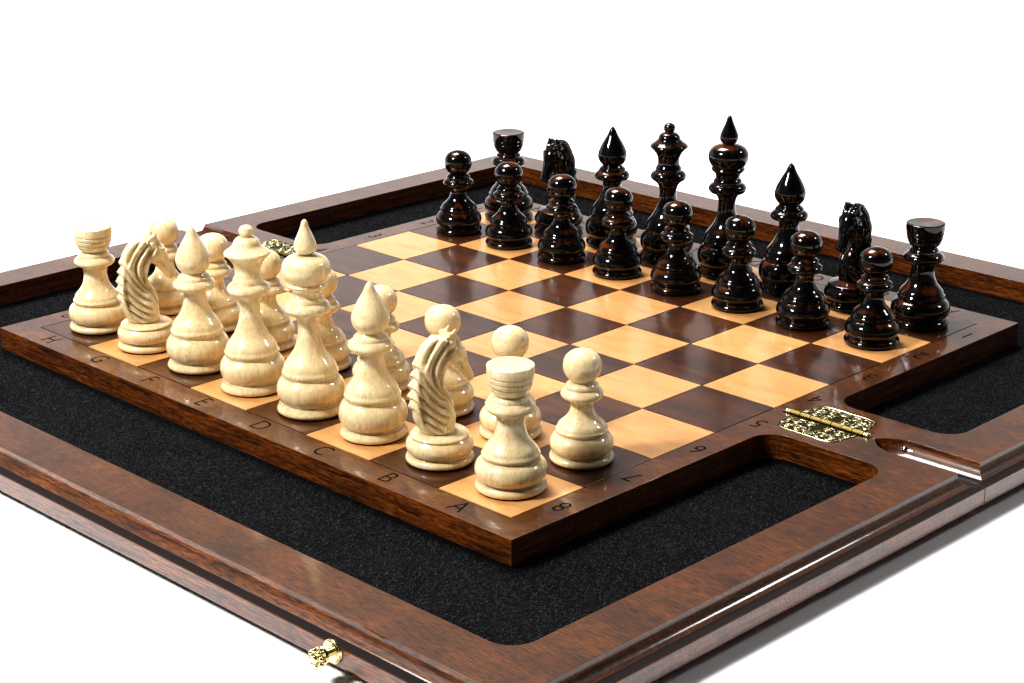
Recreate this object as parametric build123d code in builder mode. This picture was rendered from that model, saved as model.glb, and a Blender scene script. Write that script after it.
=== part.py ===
from build123d import *
import os
from math import cos, pi

os.makedirs("parts", exist_ok=True)

# Folding chess box laid open on a table.
# X runs along the fold, +Y is the far half, -Y the near half, Z is up.
# The origin is the middle of the fold on the table.

# playing field
square = 40.0
files = 8
border = 14.0

# one half of the box
half_thick = 18.0
tray_width = 60.0
rim_top = 21.5
divider = 23.0
tray_corner = 11.0
fold_gap = 0.25

# edge mouldings
cutter_over = 20.0
cove_radius = 6.0
cove_ledge = 2.0
foot_step = 2.0
foot_height = 5.0
foot_round = 4.8
run_out_radius = 16.0

# bottom board and lining
base_thick = 3.0
base_margin = 14.0
base_play = 0.15
felt_thick = 3.0
felt_play = 0.2

# inlaid squares
inlay_thick = 1.0
inlay_line = 0.6

# hinges
hinge_inset = 13.3
axis_rise = 0.3
barrel_radius = 1.5
barrel_play = 0.5
barrel_half = 18.6
knuckle_count = 7
knuckle_gap = 0.2
pin_radius = 0.55
pin_fit = 0.03
pin_play = 0.35
finial_radius = 1.4
finial_reach = 3.1
leaf_thick = 0.8
leaf_short = 1.4
leaf_taper = 3.2
leaf_pinch = 1.6
leaf_corner = 14.8
leaf_bulge = 17.0
leaf_play = 0.3
screw_spread = 9.5
screw_out = 9.5
screw_head = 1.15
screw_head_thick = 0.4
screw_shank = 0.55
screw_length = 5.0
screw_play = 0.05

# latch knobs on the near half, swing hooks on the far half
latch_x = 180.0
latch_z = 9.5
rose_radius = 4.3
rose_thick = 1.3
neck_radius = 1.4
cup_radius = 3.6
knob_reach = 9.2
knob_ball = 1.7
hook_thick = 1.3
hook_play = 0.35
hook_eye = 3.2
hook_arm = 1.5
hook_tip = 3.9
notch_play = 0.6
stud_depth = 6.0

# small round-headed pins in the fold cove
cove_pin_x = 221.5
cove_pin_y = 6.7
cove_pin_z = 14.3
cove_pin_head = 1.3
cove_pin_shank = 5.0
cove_pin_play = 0.05

# chessmen
king_height = 83.7
felt_disc = 0.6
disc_inset = 0.9
knight_turn = 80.0
knight_half_thick = 5.2

# derived sizes
field_half = square * files / 2
platform_half = field_half + border
tray_half = platform_half + tray_width
top_half = tray_half + rim_top
half_span = top_half + cove_radius + cove_ledge
axis_z = half_thick + axis_rise
hinge_x = platform_half + hinge_inset
leaf_half_inner = barrel_half - leaf_short
leaf_half_outer = leaf_half_inner - leaf_taper
leaf_waist = leaf_half_inner - leaf_pinch
run_out_x = hinge_x + finial_reach + barrel_half + run_out_radius
groove_radius = barrel_radius + barrel_play
groove_half = barrel_half + finial_reach + barrel_play
felt_top = base_thick + felt_thick
hook_y = half_span + rose_thick + hook_play
hook_length = 2 * axis_z - 2 * latch_z
notch_radius = neck_radius + notch_play
board_top = half_thick + felt_disc
man_scale = king_height / 83.7


def half_rectangle(margin, fold_margin):
    """Corner-to-corner size and middle of a rectangle set in from the outline of a half."""
    width = 2 * (half_span - margin)
    depth = half_span - margin - fold_margin
    middle = fold_margin + depth / 2
    return width, depth, middle


def tray_outline(side, offset, corner):
    """U-shaped tray of one half as a closed face, shrunk by an offset."""
    outer = tray_half - offset
    inner = platform_half + offset
    fold = divider + offset
    with BuildSketch() as outline:
        with BuildLine():
            Polyline(
                (-outer, side * fold),
                (-outer, side * outer),
                (outer, side * outer),
                (outer, side * fold),
                (inner, side * fold),
                (inner, side * inner),
                (-inner, side * inner),
                (-inner, side * fold),
                close=True,
            )
        make_face()
        round_ones = [
            v for v in outline.vertices() if abs(abs(v.X) - outer) < 0.01 or abs(abs(v.Y) - fold) < 0.01
        ]
        fillet(round_ones, corner)
    return outline.sketch


def leaf_outline(side, offset):
    """Shaped hinge leaf on one side of the fold, seen from above, grown by an offset."""
    inner = leaf_half_inner + offset
    outer = leaf_half_outer + offset
    waist = leaf_waist + offset
    corner = leaf_corner + offset
    bulge = leaf_bulge + offset
    with BuildSketch() as outline:
        with BuildLine():
            Line((-inner, 0), (inner, 0))
            ThreePointArc((inner, 0), (waist, side * corner * 0.55), (outer, side * corner))
            ThreePointArc((outer, side * corner), (0, side * bulge), (-outer, side * corner))
            ThreePointArc((-outer, side * corner), (-waist, side * corner * 0.55), (-inner, 0))
        make_face()
    return outline.sketch


def edge_profile(reach):
    """Cross-section cut away by the cove bit, u outwards from the ledge side, v upwards."""
    with BuildSketch() as profile:
        with Locations((cove_radius + reach / 2, half_thick + 5 - (cove_radius + 5) / 2)):
            Rectangle(reach, cove_radius + 5)
        with Locations((cove_radius, half_thick)):
            Circle(cove_radius)
    return profile.sketch


# the cove of the outer edges, as straight cutters longer than the box
cut_length = 2 * (half_span + cutter_over)
with BuildPart() as outer_cove:
    for turn in (0, 90, 180, 270):
        cut_plane = Plane.XZ.rotated((0, 0, turn)).offset(cut_length / 2)
        with BuildSketch(cut_plane):
            with Locations((top_half, 0)):
                add(edge_profile(cutter_over))
        extrude(amount=-cut_length)

# the same bit run along the fold from both ends, with its round run-outs
fold_run = half_span + 10 - run_out_x
with BuildPart() as fold_cove:
    for end in (-1, 1):
        for side in (-1, 1):
            with BuildSketch(Plane.YZ.offset(end * run_out_x)):
                with Locations((side * cove_ledge, half_thick)):
                    Circle(cove_radius)
                with Locations((0, half_thick + 5 - (cove_radius + 5) / 2)):
                    Rectangle(2 * cove_ledge, cove_radius + 5)
            extrude(amount=end * fold_run)
for_fold = {}
for side in (-1, 1):
    bit_y = side * (cove_ledge + cove_radius - run_out_radius)
    with BuildPart() as run_outs:
        for end in (-1, 1):
            bit_axis = Axis((end * run_out_x, bit_y, 0), (0, 0, 1))
            middle = end * run_out_x
            floor_end = middle + run_out_radius - cove_radius
            rim_end = middle + run_out_radius
            floor_z = half_thick - cove_radius
            with BuildSketch(Plane.XZ.offset(-bit_y)):
                with BuildLine():
                    Line((middle, floor_z), (floor_end, floor_z))
                    RadiusArc((floor_end, floor_z), (rim_end, half_thick), -cove_radius)
                    Line((rim_end, half_thick), (rim_end, half_thick + 4))
                    Line((rim_end, half_thick + 4), (middle, half_thick + 4))
                    Line((middle, half_thick + 4), (middle, floor_z))
                make_face()
            revolve(axis=bit_axis)
    for_fold[side] = run_outs.part


def make_board(side):
    """Milled wooden half: rim, divider and raised field in one piece."""
    width, depth, middle = half_rectangle(0, fold_gap)
    foot_width, foot_depth, foot_middle = half_rectangle(foot_step, fold_gap + foot_step)
    panel_width, panel_depth, panel_middle = half_rectangle(base_margin, base_margin)
    with BuildPart() as board:
        with BuildSketch(Plane.XY):
            with Locations((0, side * foot_middle)):
                Rectangle(foot_width, foot_depth)
        extrude(amount=foot_height)
        fillet(board.faces().sort_by(Axis.Z)[0].edges(), foot_round)
        with BuildSketch(Plane.XY.offset(foot_height)):
            with Locations((0, side * middle)):
                Rectangle(width, depth)
        extrude(amount=half_thick - foot_height)
        add(outer_cove.part, mode=Mode.SUBTRACT)
        add(fold_cove.part, mode=Mode.SUBTRACT)
        add(for_fold[side], mode=Mode.SUBTRACT)
        # tray and bottom board rebate
        with BuildSketch(Plane.XY.offset(base_thick)):
            add(tray_outline(side, 0, tray_corner))
        extrude(amount=half_thick, mode=Mode.SUBTRACT)
        with BuildSketch(Plane.XY):
            with Locations((0, side * panel_middle)):
                Rectangle(panel_width, panel_depth)
        extrude(amount=base_thick, mode=Mode.SUBTRACT)
        # bed for the inlaid squares
        bed_half = field_half + inlay_line / 2
        with BuildSketch(Plane.XY.offset(half_thick - inlay_thick)):
            with Locations((0, side * bed_half / 2)):
                Rectangle(2 * bed_half, bed_half)
        extrude(amount=inlay_thick, mode=Mode.SUBTRACT)
        # hinge beds, barrel grooves and screw holes
        for end in (-1, 1):
            with BuildSketch(Plane.XY.offset(half_thick - leaf_thick)):
                with Locations((end * hinge_x, 0)):
                    add(leaf_outline(side, leaf_play))
            extrude(amount=leaf_thick, mode=Mode.SUBTRACT)
            with BuildSketch(Plane.YZ.offset(end * hinge_x - groove_half)):
                with Locations((0, axis_z)):
                    Circle(groove_radius)
            extrude(amount=2 * groove_half, mode=Mode.SUBTRACT)
            with BuildSketch(Plane.XY.offset(half_thick - leaf_thick)):
                with Locations((end * hinge_x, side * screw_out)):
                    with GridLocations(2 * screw_spread, 1, 2, 1):
                        Circle(screw_shank + screw_play)
            extrude(amount=-screw_length, mode=Mode.SUBTRACT)
        # holes for the latch fittings in the outer face
        with BuildSketch(Plane.XZ.offset(-side * half_span)):
            with Locations((-latch_x, latch_z), (latch_x, latch_z)):
                Circle(neck_radius)
        extrude(amount=side * stud_depth, mode=Mode.SUBTRACT)
        if side > 0:
            for end in (-1, 1):
                with BuildSketch(Plane.XZ.offset(-cove_pin_y)):
                    with Locations((end * cove_pin_x, cove_pin_z)):
                        Circle(screw_shank + cove_pin_play)
                extrude(amount=-cove_pin_shank, mode=Mode.SUBTRACT)
                with Locations((end * cove_pin_x, cove_pin_y, cove_pin_z)):
                    Sphere(cove_pin_head + cove_pin_play, mode=Mode.SUBTRACT)
    return board


def make_base(side):
    """Thin bottom board let into the underside of a half."""
    width, depth, middle = half_rectangle(base_margin + base_play, base_margin + base_play)
    with BuildPart() as base:
        with BuildSketch(Plane.XY):
            with Locations((0, side * middle)):
                Rectangle(width, depth)
        extrude(amount=base_thick)
    return base


def make_squares(side, light):
    """The sixteen inlaid squares of one colour in one half."""
    with BuildPart() as inlay:
        with BuildSketch(Plane.XY.offset(half_thick - inlay_thick)):
            for column in range(files):
                for row in range(files // 2):
                    is_light = (column + row) % 2 == (1 if side > 0 else 0)
                    if is_light == light:
                        x = (column + 0.5) * square - field_half
                        y = side * (row + 0.5) * square
                        with Locations((x, y)):
                            Rectangle(square - inlay_line, square - inlay_line)
        extrude(amount=inlay_thick)
    return inlay


def make_felt(side):
    """Fibrous lining laid in the U-shaped tray."""
    with BuildPart() as felt:
        with BuildSketch(Plane.XY.offset(base_thick)):
            add(tray_outline(side, felt_play, tray_corner - felt_play))
        extrude(amount=felt_thick)
    return felt


pitch = (2 * barrel_half + knuckle_gap) / knuckle_count
knuckle_length = pitch - knuckle_gap


def make_leaf(end, side):
    """One leaf of a hinge with its share of the knuckles."""
    own = [i for i in range(knuckle_count) if (i % 2 == 0) == (side < 0)]
    other = [i for i in range(knuckle_count) if i not in own]
    start = end * hinge_x - barrel_half
    bore = pin_radius + (pin_fit if side < 0 else pin_play)
    with BuildPart() as leaf:
        with BuildSketch(Plane.XY.offset(half_thick - leaf_thick)):
            with Locations((end * hinge_x, 0)):
                add(leaf_outline(side, 0))
        extrude(amount=leaf_thick)
        with BuildSketch(Plane.XY.offset(half_thick - leaf_thick)):
            with Locations((end * hinge_x, 0)):
                Rectangle(2 * barrel_half + 2, 2 * (bore + 0.2))
        extrude(amount=leaf_thick, mode=Mode.SUBTRACT)
        for i in own:
            with BuildSketch(Plane.YZ.offset(start + i * pitch)):
                with Locations((0, axis_z)):
                    Circle(barrel_radius)
            extrude(amount=knuckle_length)
        for i in other:
            with BuildSketch(Plane.XY.offset(half_thick - leaf_thick - 1)):
                middle = start + i * pitch + knuckle_length / 2
                with Locations((middle, side * (barrel_radius + leaf_play) / 2)):
                    Rectangle(knuckle_length + 2 * knuckle_gap, barrel_radius + leaf_play)
            extrude(amount=leaf_thick + 4, mode=Mode.SUBTRACT)
        with BuildSketch(Plane.YZ.offset(start - 1)):
            with Locations((0, axis_z)):
                Circle(bore)
        extrude(amount=2 * barrel_half + 2, mode=Mode.SUBTRACT)
        with BuildSketch(Plane.XY.offset(half_thick)):
            with Locations((end * hinge_x, side * screw_out)):
                with GridLocations(2 * screw_spread, 1, 2, 1):
                    Circle(screw_head + screw_play)
        extrude(amount=-screw_head_thick, mode=Mode.SUBTRACT)
        with BuildSketch(Plane.XY.offset(half_thick)):
            with Locations((end * hinge_x, side * screw_out)):
                with GridLocations(2 * screw_spread, 1, 2, 1):
                    Circle(screw_shank + screw_play)
        extrude(amount=-leaf_thick, mode=Mode.SUBTRACT)
    return leaf


def make_leaf_screws(side):
    """Flush screws of both leaves on one side of the fold."""
    with BuildPart() as screws:
        for end in (-1, 1):
            with BuildSketch(Plane.XY.offset(half_thick)):
                with Locations((end * hinge_x, side * screw_out)):
                    with GridLocations(2 * screw_spread, 1, 2, 1):
                        Circle(screw_head)
            extrude(amount=-screw_head_thick)
            with BuildSketch(Plane.XY.offset(half_thick - screw_head_thick)):
                with Locations((end * hinge_x, side * screw_out)):
                    with GridLocations(2 * screw_spread, 1, 2, 1):
                        Circle(screw_shank)
            extrude(amount=-(screw_length - screw_head_thick))
    return screws


def make_pin(end):
    """Hinge pin with a collar and ball at each end."""
    with BuildPart() as pin:
        with BuildSketch(Plane.YZ.offset(end * hinge_x - barrel_half - 1)):
            with Locations((0, axis_z)):
                Circle(pin_radius)
        extrude(amount=2 * barrel_half + 2)
        for way in (-1, 1):
            collar = end * hinge_x + way * (barrel_half + 0.2)
            with BuildSketch(Plane.YZ.offset(collar)):
                with Locations((0, axis_z)):
                    Circle(finial_radius * 0.8)
            extrude(amount=way * 0.7)
            with Locations((end * hinge_x + way * (barrel_half + finial_reach - finial_radius), 0, axis_z)):
                Sphere(finial_radius)
    return pin


def knob_outline(reach, stem_from):
    """Half section of a turned knob; u is the radius, v the distance out of the wood."""
    ball = knob_ball
    with BuildSketch() as outline:
        with BuildLine():
            Polyline((0, -stem_from), (neck_radius, -stem_from), (neck_radius, reach * 0.44))
            Polyline(
                (neck_radius, reach * 0.44),
                (cup_radius * 0.85, reach * 0.47),
                (cup_radius, reach * 0.52),
                (cup_radius * 0.95, reach * 0.61),
                (cup_radius * 0.64, reach * 0.66),
                (ball * cos(pi / 6), reach - ball * 1.5),
            )
            ThreePointArc(
                (ball * cos(pi / 6), reach - ball * 1.5),
                (ball * cos(pi / 6), reach - ball * 0.5),
                (0, reach),
            )
            Line((0, reach), (0, -stem_from))
        make_face()
    return outline.sketch


def make_knob(end):
    """Turned latch knob standing out of the near edge."""
    with BuildPart() as knob:
        turning = Plane(origin=(end * latch_x, -half_span, latch_z), x_dir=(1, 0, 0), z_dir=(0, 0, 1))
        with BuildSketch(turning):
            add(knob_outline(knob_reach, stud_depth).mirror(Plane.XZ))
        revolve(axis=Axis((end * latch_x, -half_span, latch_z), (0, 1, 0)))
    return knob


def make_roses(side):
    """Round back plates under the knobs or under the hooks."""
    with BuildPart() as roses:
        with BuildSketch(Plane.XZ.offset(-side * half_span)):
            with Locations((-latch_x, latch_z), (latch_x, latch_z)):
                Circle(rose_radius)
        extrude(amount=-side * rose_thick, taper=25)
        with BuildSketch(Plane.XZ.offset(-side * half_span)):
            with Locations((-latch_x, latch_z), (latch_x, latch_z)):
                Circle(neck_radius + 0.05)
        extrude(amount=-side * 2 * rose_thick, mode=Mode.SUBTRACT)
    return roses


def make_hook_studs():
    """Knob-headed pivots that carry the hooks on the far edge."""
    with BuildPart() as studs:
        for end in (-1, 1):
            turning = Plane(origin=(end * latch_x, half_span, latch_z), x_dir=(1, 0, 0), z_dir=(0, 0, 1))
            with BuildSketch(turning):
                add(knob_outline(knob_reach, stud_depth))
            revolve(axis=Axis((end * latch_x, half_span, latch_z), (0, 1, 0)))
    return studs


def make_hook(end):
    """Swing hook lying along the far edge, its open notch facing up."""
    reach = -end * hook_length
    with BuildPart() as hook:
        with BuildSketch(Plane.XZ.offset(-hook_y)):
            with Locations((end * latch_x, latch_z)):
                Circle(hook_eye)
                with Locations((reach / 2, 0)):
                    Rectangle(hook_length, 2 * hook_arm)
                with Locations((reach, 0)):
                    Circle(hook_tip)
                    Circle(notch_radius, mode=Mode.SUBTRACT)
                with Locations((reach, hook_tip / 2 + 0.5)):
                    Rectangle(2 * notch_radius, hook_tip + 1, mode=Mode.SUBTRACT)
                Circle(neck_radius + hook_play, mode=Mode.SUBTRACT)
        extrude(amount=-hook_thick)
    return hook


def profile_face(parts):
    """Closed half section from (radius, height) runs; each run is one smooth curve."""
    with BuildSketch() as section:
        with BuildLine():
            for run in parts:
                if len(run) == 2:
                    Line(run[0], run[1])
                else:
                    Spline(*run)
            Polyline(parts[-1][-1], (0, parts[-1][-1][1]), (0, 0), (parts[0][0][0], 0))
        make_face()
    return section.sketch


def turned_man(parts):
    """One turned man standing on its felt disc, axis on the origin."""
    with BuildPart() as man:
        with BuildSketch(Plane.XZ):
            add(profile_face(parts))
        revolve(axis=Axis.Z)
    return man.part


def foot_runs(foot, bulb, low, mid, top, neck):
    """Foot bead, groove and round belly shared by all the men."""
    return [
        [(foot - 0.8, 0), (foot, 0.9), (foot - 0.1, 1.8), (foot - 1.1, low)],
        [(foot - 1.1, low), (bulb - 0.2, (low + mid) / 2), (bulb, mid), (bulb - 0.6, (mid + top) / 2 + 0.6), (neck, top)],
    ]


pawn_runs = foot_runs(13.0, 12.7, 2.6, 6.4, 9.8, 10.4) + [
    [(10.4, 9.8), (10.6, 10.4), (10.2, 11.2)],
    [(10.2, 11.2), (10.5, 12.7), (10.1, 14.2), (8.6, 16.6), (6.6, 18.8), (5.1, 21.2), (4.6, 23.5), (5.0, 25.2)],
    [(5.0, 25.2), (7.9, 26.3)],
    [(7.9, 26.3), (8.6, 27.6), (8.0, 28.9), (6.4, 30.0)],
    [(6.4, 30.0), (6.6, 31.2), (5.6, 32.4)],
    [(5.6, 32.4), (4.7, 33.1)],
    [(4.7, 33.1), (6.9, 35.9), (7.7, 39.4), (6.6, 43.2), (3.6, 45.5), (0.3, 46.1)],
]

rook_runs = foot_runs(14.0, 14.0, 2.9, 7.4, 11.2, 11.3) + [
    [(11.3, 11.2), (11.6, 12.1), (10.9, 13.0)],
    [(10.9, 13.0), (11.4, 14.9), (11.1, 16.6), (9.6, 18.9), (7.5, 21.7), (5.9, 24.6), (5.2, 27.4), (5.7, 30.2)],
    [(5.7, 30.2), (8.8, 31.6)],
    [(8.8, 31.6), (9.7, 33.0), (9.0, 34.4), (6.9, 35.7)],
    [(6.9, 35.7), (6.9, 36.9), (5.5, 38.0)],
    [(5.5, 38.0), (6.3, 39.2), (7.6, 42.6), (8.5, 45.6)],
    [(8.5, 45.6), (9.2, 48.4), (9.2, 49.8)],
    [(9.2, 49.8), (7.6, 50.0)],
    [(7.6, 50.0), (0.3, 49.4)],
]

bishop_runs = foot_runs(14.1, 14.2, 3.5, 9.8, 14.6, 11.6) + [
    [(11.6, 14.6), (11.9, 15.4), (11.2, 16.3)],
    [(11.2, 16.3), (11.7, 18.3), (11.2, 20.0), (8.9, 22.9), (6.4, 26.2), (5.2, 30.2), (5.5, 33.6), (6.1, 35.0)],
    [(6.1, 35.0), (8.8, 36.1)],
    [(8.8, 36.1), (9.6, 37.7), (8.9, 39.4), (7.2, 40.8)],
    [(7.2, 40.8), (7.2, 42.0), (6.0, 43.2)],
    [(6.0, 43.2), (5.2, 44.4)],
    [(5.2, 44.4), (7.2, 47.0), (7.9, 50.0), (6.5, 54.6), (4.4, 58.4), (2.5, 61.8), (1.3, 64.4), (0.3, 65.5)],
]

queen_runs = foot_runs(14.5, 14.1, 3.7, 9.8, 14.0, 11.8) + [
    [(11.8, 14.0), (12.0, 15.0), (11.2, 16.1)],
    [(11.2, 16.1), (11.8, 18.2), (11.2, 20.2), (8.9, 23.6), (6.4, 27.4), (4.8, 31.4), (4.4, 35.2), (5.6, 40.2), (6.6, 42.2)],
    [(6.6, 42.2), (8.8, 43.9)],
    [(8.8, 43.9), (9.5, 45.5), (8.8, 47.0), (6.8, 48.2)],
    [(6.8, 48.2), (6.7, 49.8), (5.9, 51.0)],
    [(5.9, 51.0), (5.7, 53.4), (6.7, 57.2), (9.2, 60.2)],
    [(9.2, 60.2), (10.1, 61.1), (9.6, 62.0)],
    [(9.6, 62.0), (7.4, 63.6), (6.0, 64.9)],
    [(6.0, 64.9), (5.5, 66.6), (4.2, 68.0), (2.2, 68.7)],
    [(2.2, 68.7), (3.1, 70.6), (2.4, 72.8), (0.3, 73.7)],
]

king_runs = foot_runs(14.7, 14.3, 3.7, 10.0, 14.6, 11.8) + [
    [(11.8, 14.6), (12.0, 15.6), (11.2, 16.6)],
    [(11.2, 16.6), (11.6, 18.8), (11.0, 20.6), (8.7, 23.4), (6.1, 27.0), (4.7, 30.8), (4.5, 34.4), (5.8, 40.2), (7.0, 42.8)],
    [(7.0, 42.8), (9.0, 44.6)],
    [(9.0, 44.6), (9.8, 46.2), (9.0, 47.8), (6.8, 49.0)],
    [(6.8, 49.0), (6.6, 50.6), (6.0, 51.8)],
    [(6.0, 51.8), (6.4, 53.4), (8.2, 54.9)],
    [(8.2, 54.9), (8.7, 55.8), (8.0, 56.8)],
    [(8.0, 56.8), (9.7, 59.8), (10.1, 63.0), (8.6, 66.6), (5.4, 68.3), (2.7, 68.8)],
    [(2.7, 68.8), (4.2, 70.2), (4.8, 72.2), (3.9, 75.6), (2.5, 78.8), (1.5, 81.6), (1.1, 83.0), (0.3, 83.7)],
]

knight_base_runs = foot_runs(13.8, 13.6, 2.8, 7.0, 10.4, 11.9) + [
    [(11.9, 10.4), (12.0, 11.2), (11.2, 11.9)],
    [(11.2, 11.9), (0.3, 12.4)],
]

horse_outline = [
    (7.0, 11.0),
    (9.0, 17.0),
    (8.0, 22.5),
    (3.6, 27.5),
    (2.2, 32.0),
    (3.0, 36.4),
    (6.0, 38.4),
    (9.0, 33.5),
    (12.0, 29.4),
    (14.6, 30.0),
    (16.2, 33.6),
    (13.8, 38.6),
    (10.8, 44.4),
    (8.0, 49.6),
    (6.6, 54.2),
    (3.4, 51.6),
    (-2.0, 51.6),
    (-7.0, 49.0),
    (-10.6, 43.6),
    (-12.4, 36.0),
    (-13.4, 29.0),
    (-13.6, 22.5),
    (-11.6, 17.0),
    (-7.6, 12.6),
]


def knight_man():
    """Knight: turned foot carrying a carved horse's head, facing +X."""
    with BuildPart() as knight:
        add(turned_man(knight_base_runs))
        for half_thick_here, inset in ((knight_half_thick, 1.4), (knight_half_thick - 1.4, 0)):
            with BuildSketch(Plane.XZ.offset(-half_thick_here)):
                with BuildLine():
                    Polyline(*horse_outline, (0, 11.0), close=True)
                make_face()
                if inset:
                    offset(amount=-inset, mode=Mode.REPLACE)
            extrude(amount=2 * half_thick_here)
    return knight.part


def file_x(index):
    """X of the middle of a file, A = 0 on the +X side."""
    return (files / 2 - 0.5 - index) * square


def place_men(man, columns, rank_y, turn=0):
    """Copies of one man on the squares of one rank, as one group of solids."""
    sized_man = scale(man, by=man_scale)
    with BuildPart() as group:
        for index in columns:
            with Locations(Location((file_x(index), rank_y, board_top), (0, 0, turn))):
                add(sized_man)
    return group


def place_discs(sizes, back_y, front_y):
    """Felt discs under the men of one colour."""
    with BuildPart() as discs:
        for index, radius in enumerate(sizes):
            with BuildSketch(Plane.XY.offset(half_thick)):
                with Locations((file_x(index), back_y)):
                    Circle(man_scale * radius - disc_inset)
                with Locations((file_x(index), front_y)):
                    Circle(man_scale * 13.0 - disc_inset)
            extrude(amount=felt_disc)
    return discs


parts = {}
for side, half_name in ((-1, "near"), (1, "far")):
    parts[half_name + "_board"] = make_board(side)
    parts[half_name + "_base_panel"] = make_base(side)
    parts[half_name + "_light_squares"] = make_squares(side, True)
    parts[half_name + "_dark_squares"] = make_squares(side, False)
    parts[half_name + "_tray_felt"] = make_felt(side)
    parts[half_name + "_leaf_screws"] = make_leaf_screws(side)
    for end, end_name in ((-1, "left"), (1, "right")):
        parts[half_name + "_leaf_" + end_name] = make_leaf(end, side)
for end, end_name in ((-1, "left"), (1, "right")):
    parts["hinge_pin_" + end_name] = make_pin(end)
    parts["latch_knob_" + end_name] = make_knob(end)
    parts["hook_" + end_name] = make_hook(end)
parts["knob_roses"] = make_roses(-1)
parts["hook_roses"] = make_roses(1)
parts["hook_studs"] = make_hook_studs()

with BuildPart() as cove_pins:
    for end in (-1, 1):
        with BuildSketch(Plane.XZ.offset(-cove_pin_y)):
            with Locations((end * cove_pin_x, cove_pin_z)):
                Circle(screw_shank)
        extrude(amount=-cove_pin_shank)
        with Locations((end * cove_pin_x, cove_pin_y, cove_pin_z)):
            Sphere(cove_pin_head)
parts["cove_pins"] = cove_pins

pawn = turned_man(pawn_runs)
rook = turned_man(rook_runs)
bishop = turned_man(bishop_runs)
queen = turned_man(queen_runs)
king = turned_man(king_runs)
knight = knight_man()
back_rank = (files / 2 - 0.5) * square
pawn_rank = (files / 2 - 1.5) * square
disc_sizes = [14.0, 13.8, 14.1, 14.7, 14.5, 14.1, 13.8, 14.0]
for side, colour in ((-1, "light"), (1, "dark")):
    parts[colour + "_rooks"] = place_men(rook, (0, 7), side * back_rank)
    parts[colour + "_knights"] = place_men(knight, (1, 6), side * back_rank, -side * knight_turn)
    parts[colour + "_bishops"] = place_men(bishop, (2, 5), side * back_rank)
    parts[colour + "_king"] = place_men(king, (3,), side * back_rank)
    parts[colour + "_queen"] = place_men(queen, (4,), side * back_rank)
    parts[colour + "_pawns"] = place_men(pawn, range(files), side * pawn_rank)
    parts[colour + "_felt_discs"] = place_discs(disc_sizes, side * back_rank, side * pawn_rank)

for part_name, piece in parts.items():
    piece.part.label = part_name
    export_step(piece.part, "parts/" + part_name + ".step")
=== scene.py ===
"""Folding chess box laid open, with its turned men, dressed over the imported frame."""

import math
import random

import bpy
import numpy as np
from mathutils import Matrix, Vector


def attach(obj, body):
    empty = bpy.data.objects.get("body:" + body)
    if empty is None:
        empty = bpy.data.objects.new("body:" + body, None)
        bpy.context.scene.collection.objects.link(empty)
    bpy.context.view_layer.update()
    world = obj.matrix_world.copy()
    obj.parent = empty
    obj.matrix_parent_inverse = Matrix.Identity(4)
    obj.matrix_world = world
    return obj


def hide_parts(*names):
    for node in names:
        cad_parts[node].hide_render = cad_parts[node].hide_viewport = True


bl_info = {
    "name": "Folding chess box",
    "version": (1, 0, 0),
    "blender": (4, 5, 0),
    "location": "3D View > Sidebar > Chess box",
    "description": "Folding chess board with lined trays, hinges, latches and turned men",
    "category": "Object",
}

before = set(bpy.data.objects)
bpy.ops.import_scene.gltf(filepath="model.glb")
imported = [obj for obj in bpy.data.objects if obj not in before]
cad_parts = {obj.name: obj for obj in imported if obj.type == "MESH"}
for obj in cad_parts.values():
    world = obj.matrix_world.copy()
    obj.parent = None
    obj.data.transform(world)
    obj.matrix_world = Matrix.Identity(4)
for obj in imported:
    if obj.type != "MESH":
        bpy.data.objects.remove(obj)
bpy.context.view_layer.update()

MM = 0.001

# Where the frame's parts lie, in millimetres: X along the fold, Y away from it, Z up.
TRAY_OUTER, TRAY_INNER, TRAY_FOLD, TRAY_CORNER = 234.0, 174.0, 23.0, 11.0
LINING_PLAY = 0.3
COVE_LEDGE_Z, BEYOND_TRAYS = 12.0, 240.0
EDGE_Y = 263.5
HINGE_X, AXIS_Z = 187.3, 18.3
BARREL_HALF, KNUCKLES, KNUCKLE_GAP = 18.6, 7, 0.2
LATCH_X, LATCH_Z, KNOB_LENGTH = 180.0, 9.5, 9.2
LETTERS_Y, NUMBERS_X = 166.2, 166.6
BACK_RANK, PAWN_RANK = 140.0, 100.0
DISC_THICK, DISC_WIDEST = 0.6, 27.6

HALVES = (("near", -1), ("far", 1))
ENDS = (("left", -1), ("right", 1))
MEN = (("light", -1), ("dark", 1))


def linear(hex_colour):
    """An sRGB hex colour as linear red, green and blue."""
    parts = [int(hex_colour[i : i + 2], 16) / 255 for i in (1, 3, 5)]
    return tuple(c / 12.92 if c <= 0.04045 else ((c + 0.055) / 1.055) ** 2.4 for c in parts)


def colour_property(name, hex_colour, description):
    """A colour of the panel, given as sRGB hex."""
    return bpy.props.FloatVectorProperty(
        name=name, description=description, subtype="COLOR", size=3, min=0, max=1, default=linear(hex_colour)
    )


def length_property(name, millimetres, description):
    """A length of the panel, given in millimetres."""
    return bpy.props.FloatProperty(
        name=name, description=description, default=millimetres * MM, min=0, unit="LENGTH", precision=5
    )


class ChessBoxSizes(bpy.types.PropertyGroup):
    """Sizes that the dressing takes from the frame, or adds to it."""

    square: length_property("Square", 40.0, "Side of one square of the board")
    board_top: length_property("Board top", 18.0, "Height of the playing surface")
    lining_top: length_property("Lining top", 6.0, "Height of the felt in the trays")
    lining_curl: length_property("Lining curl", 1.6, "How far the felt climbs at the tray walls")
    fibre_length: length_property("Fibre length", 1.2, "Length of a loose fibre of the lining")
    glyph_height: length_property("Letter height", 8.8, "Height of the engraved letters and numbers")
    scroll_wire: length_property("Scroll relief", 0.34, "Half width of the cast scrolls on the hinges")
    knight_grain: length_property("Knight resolution", 0.42, "Finest step of the knight's carving")


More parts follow.
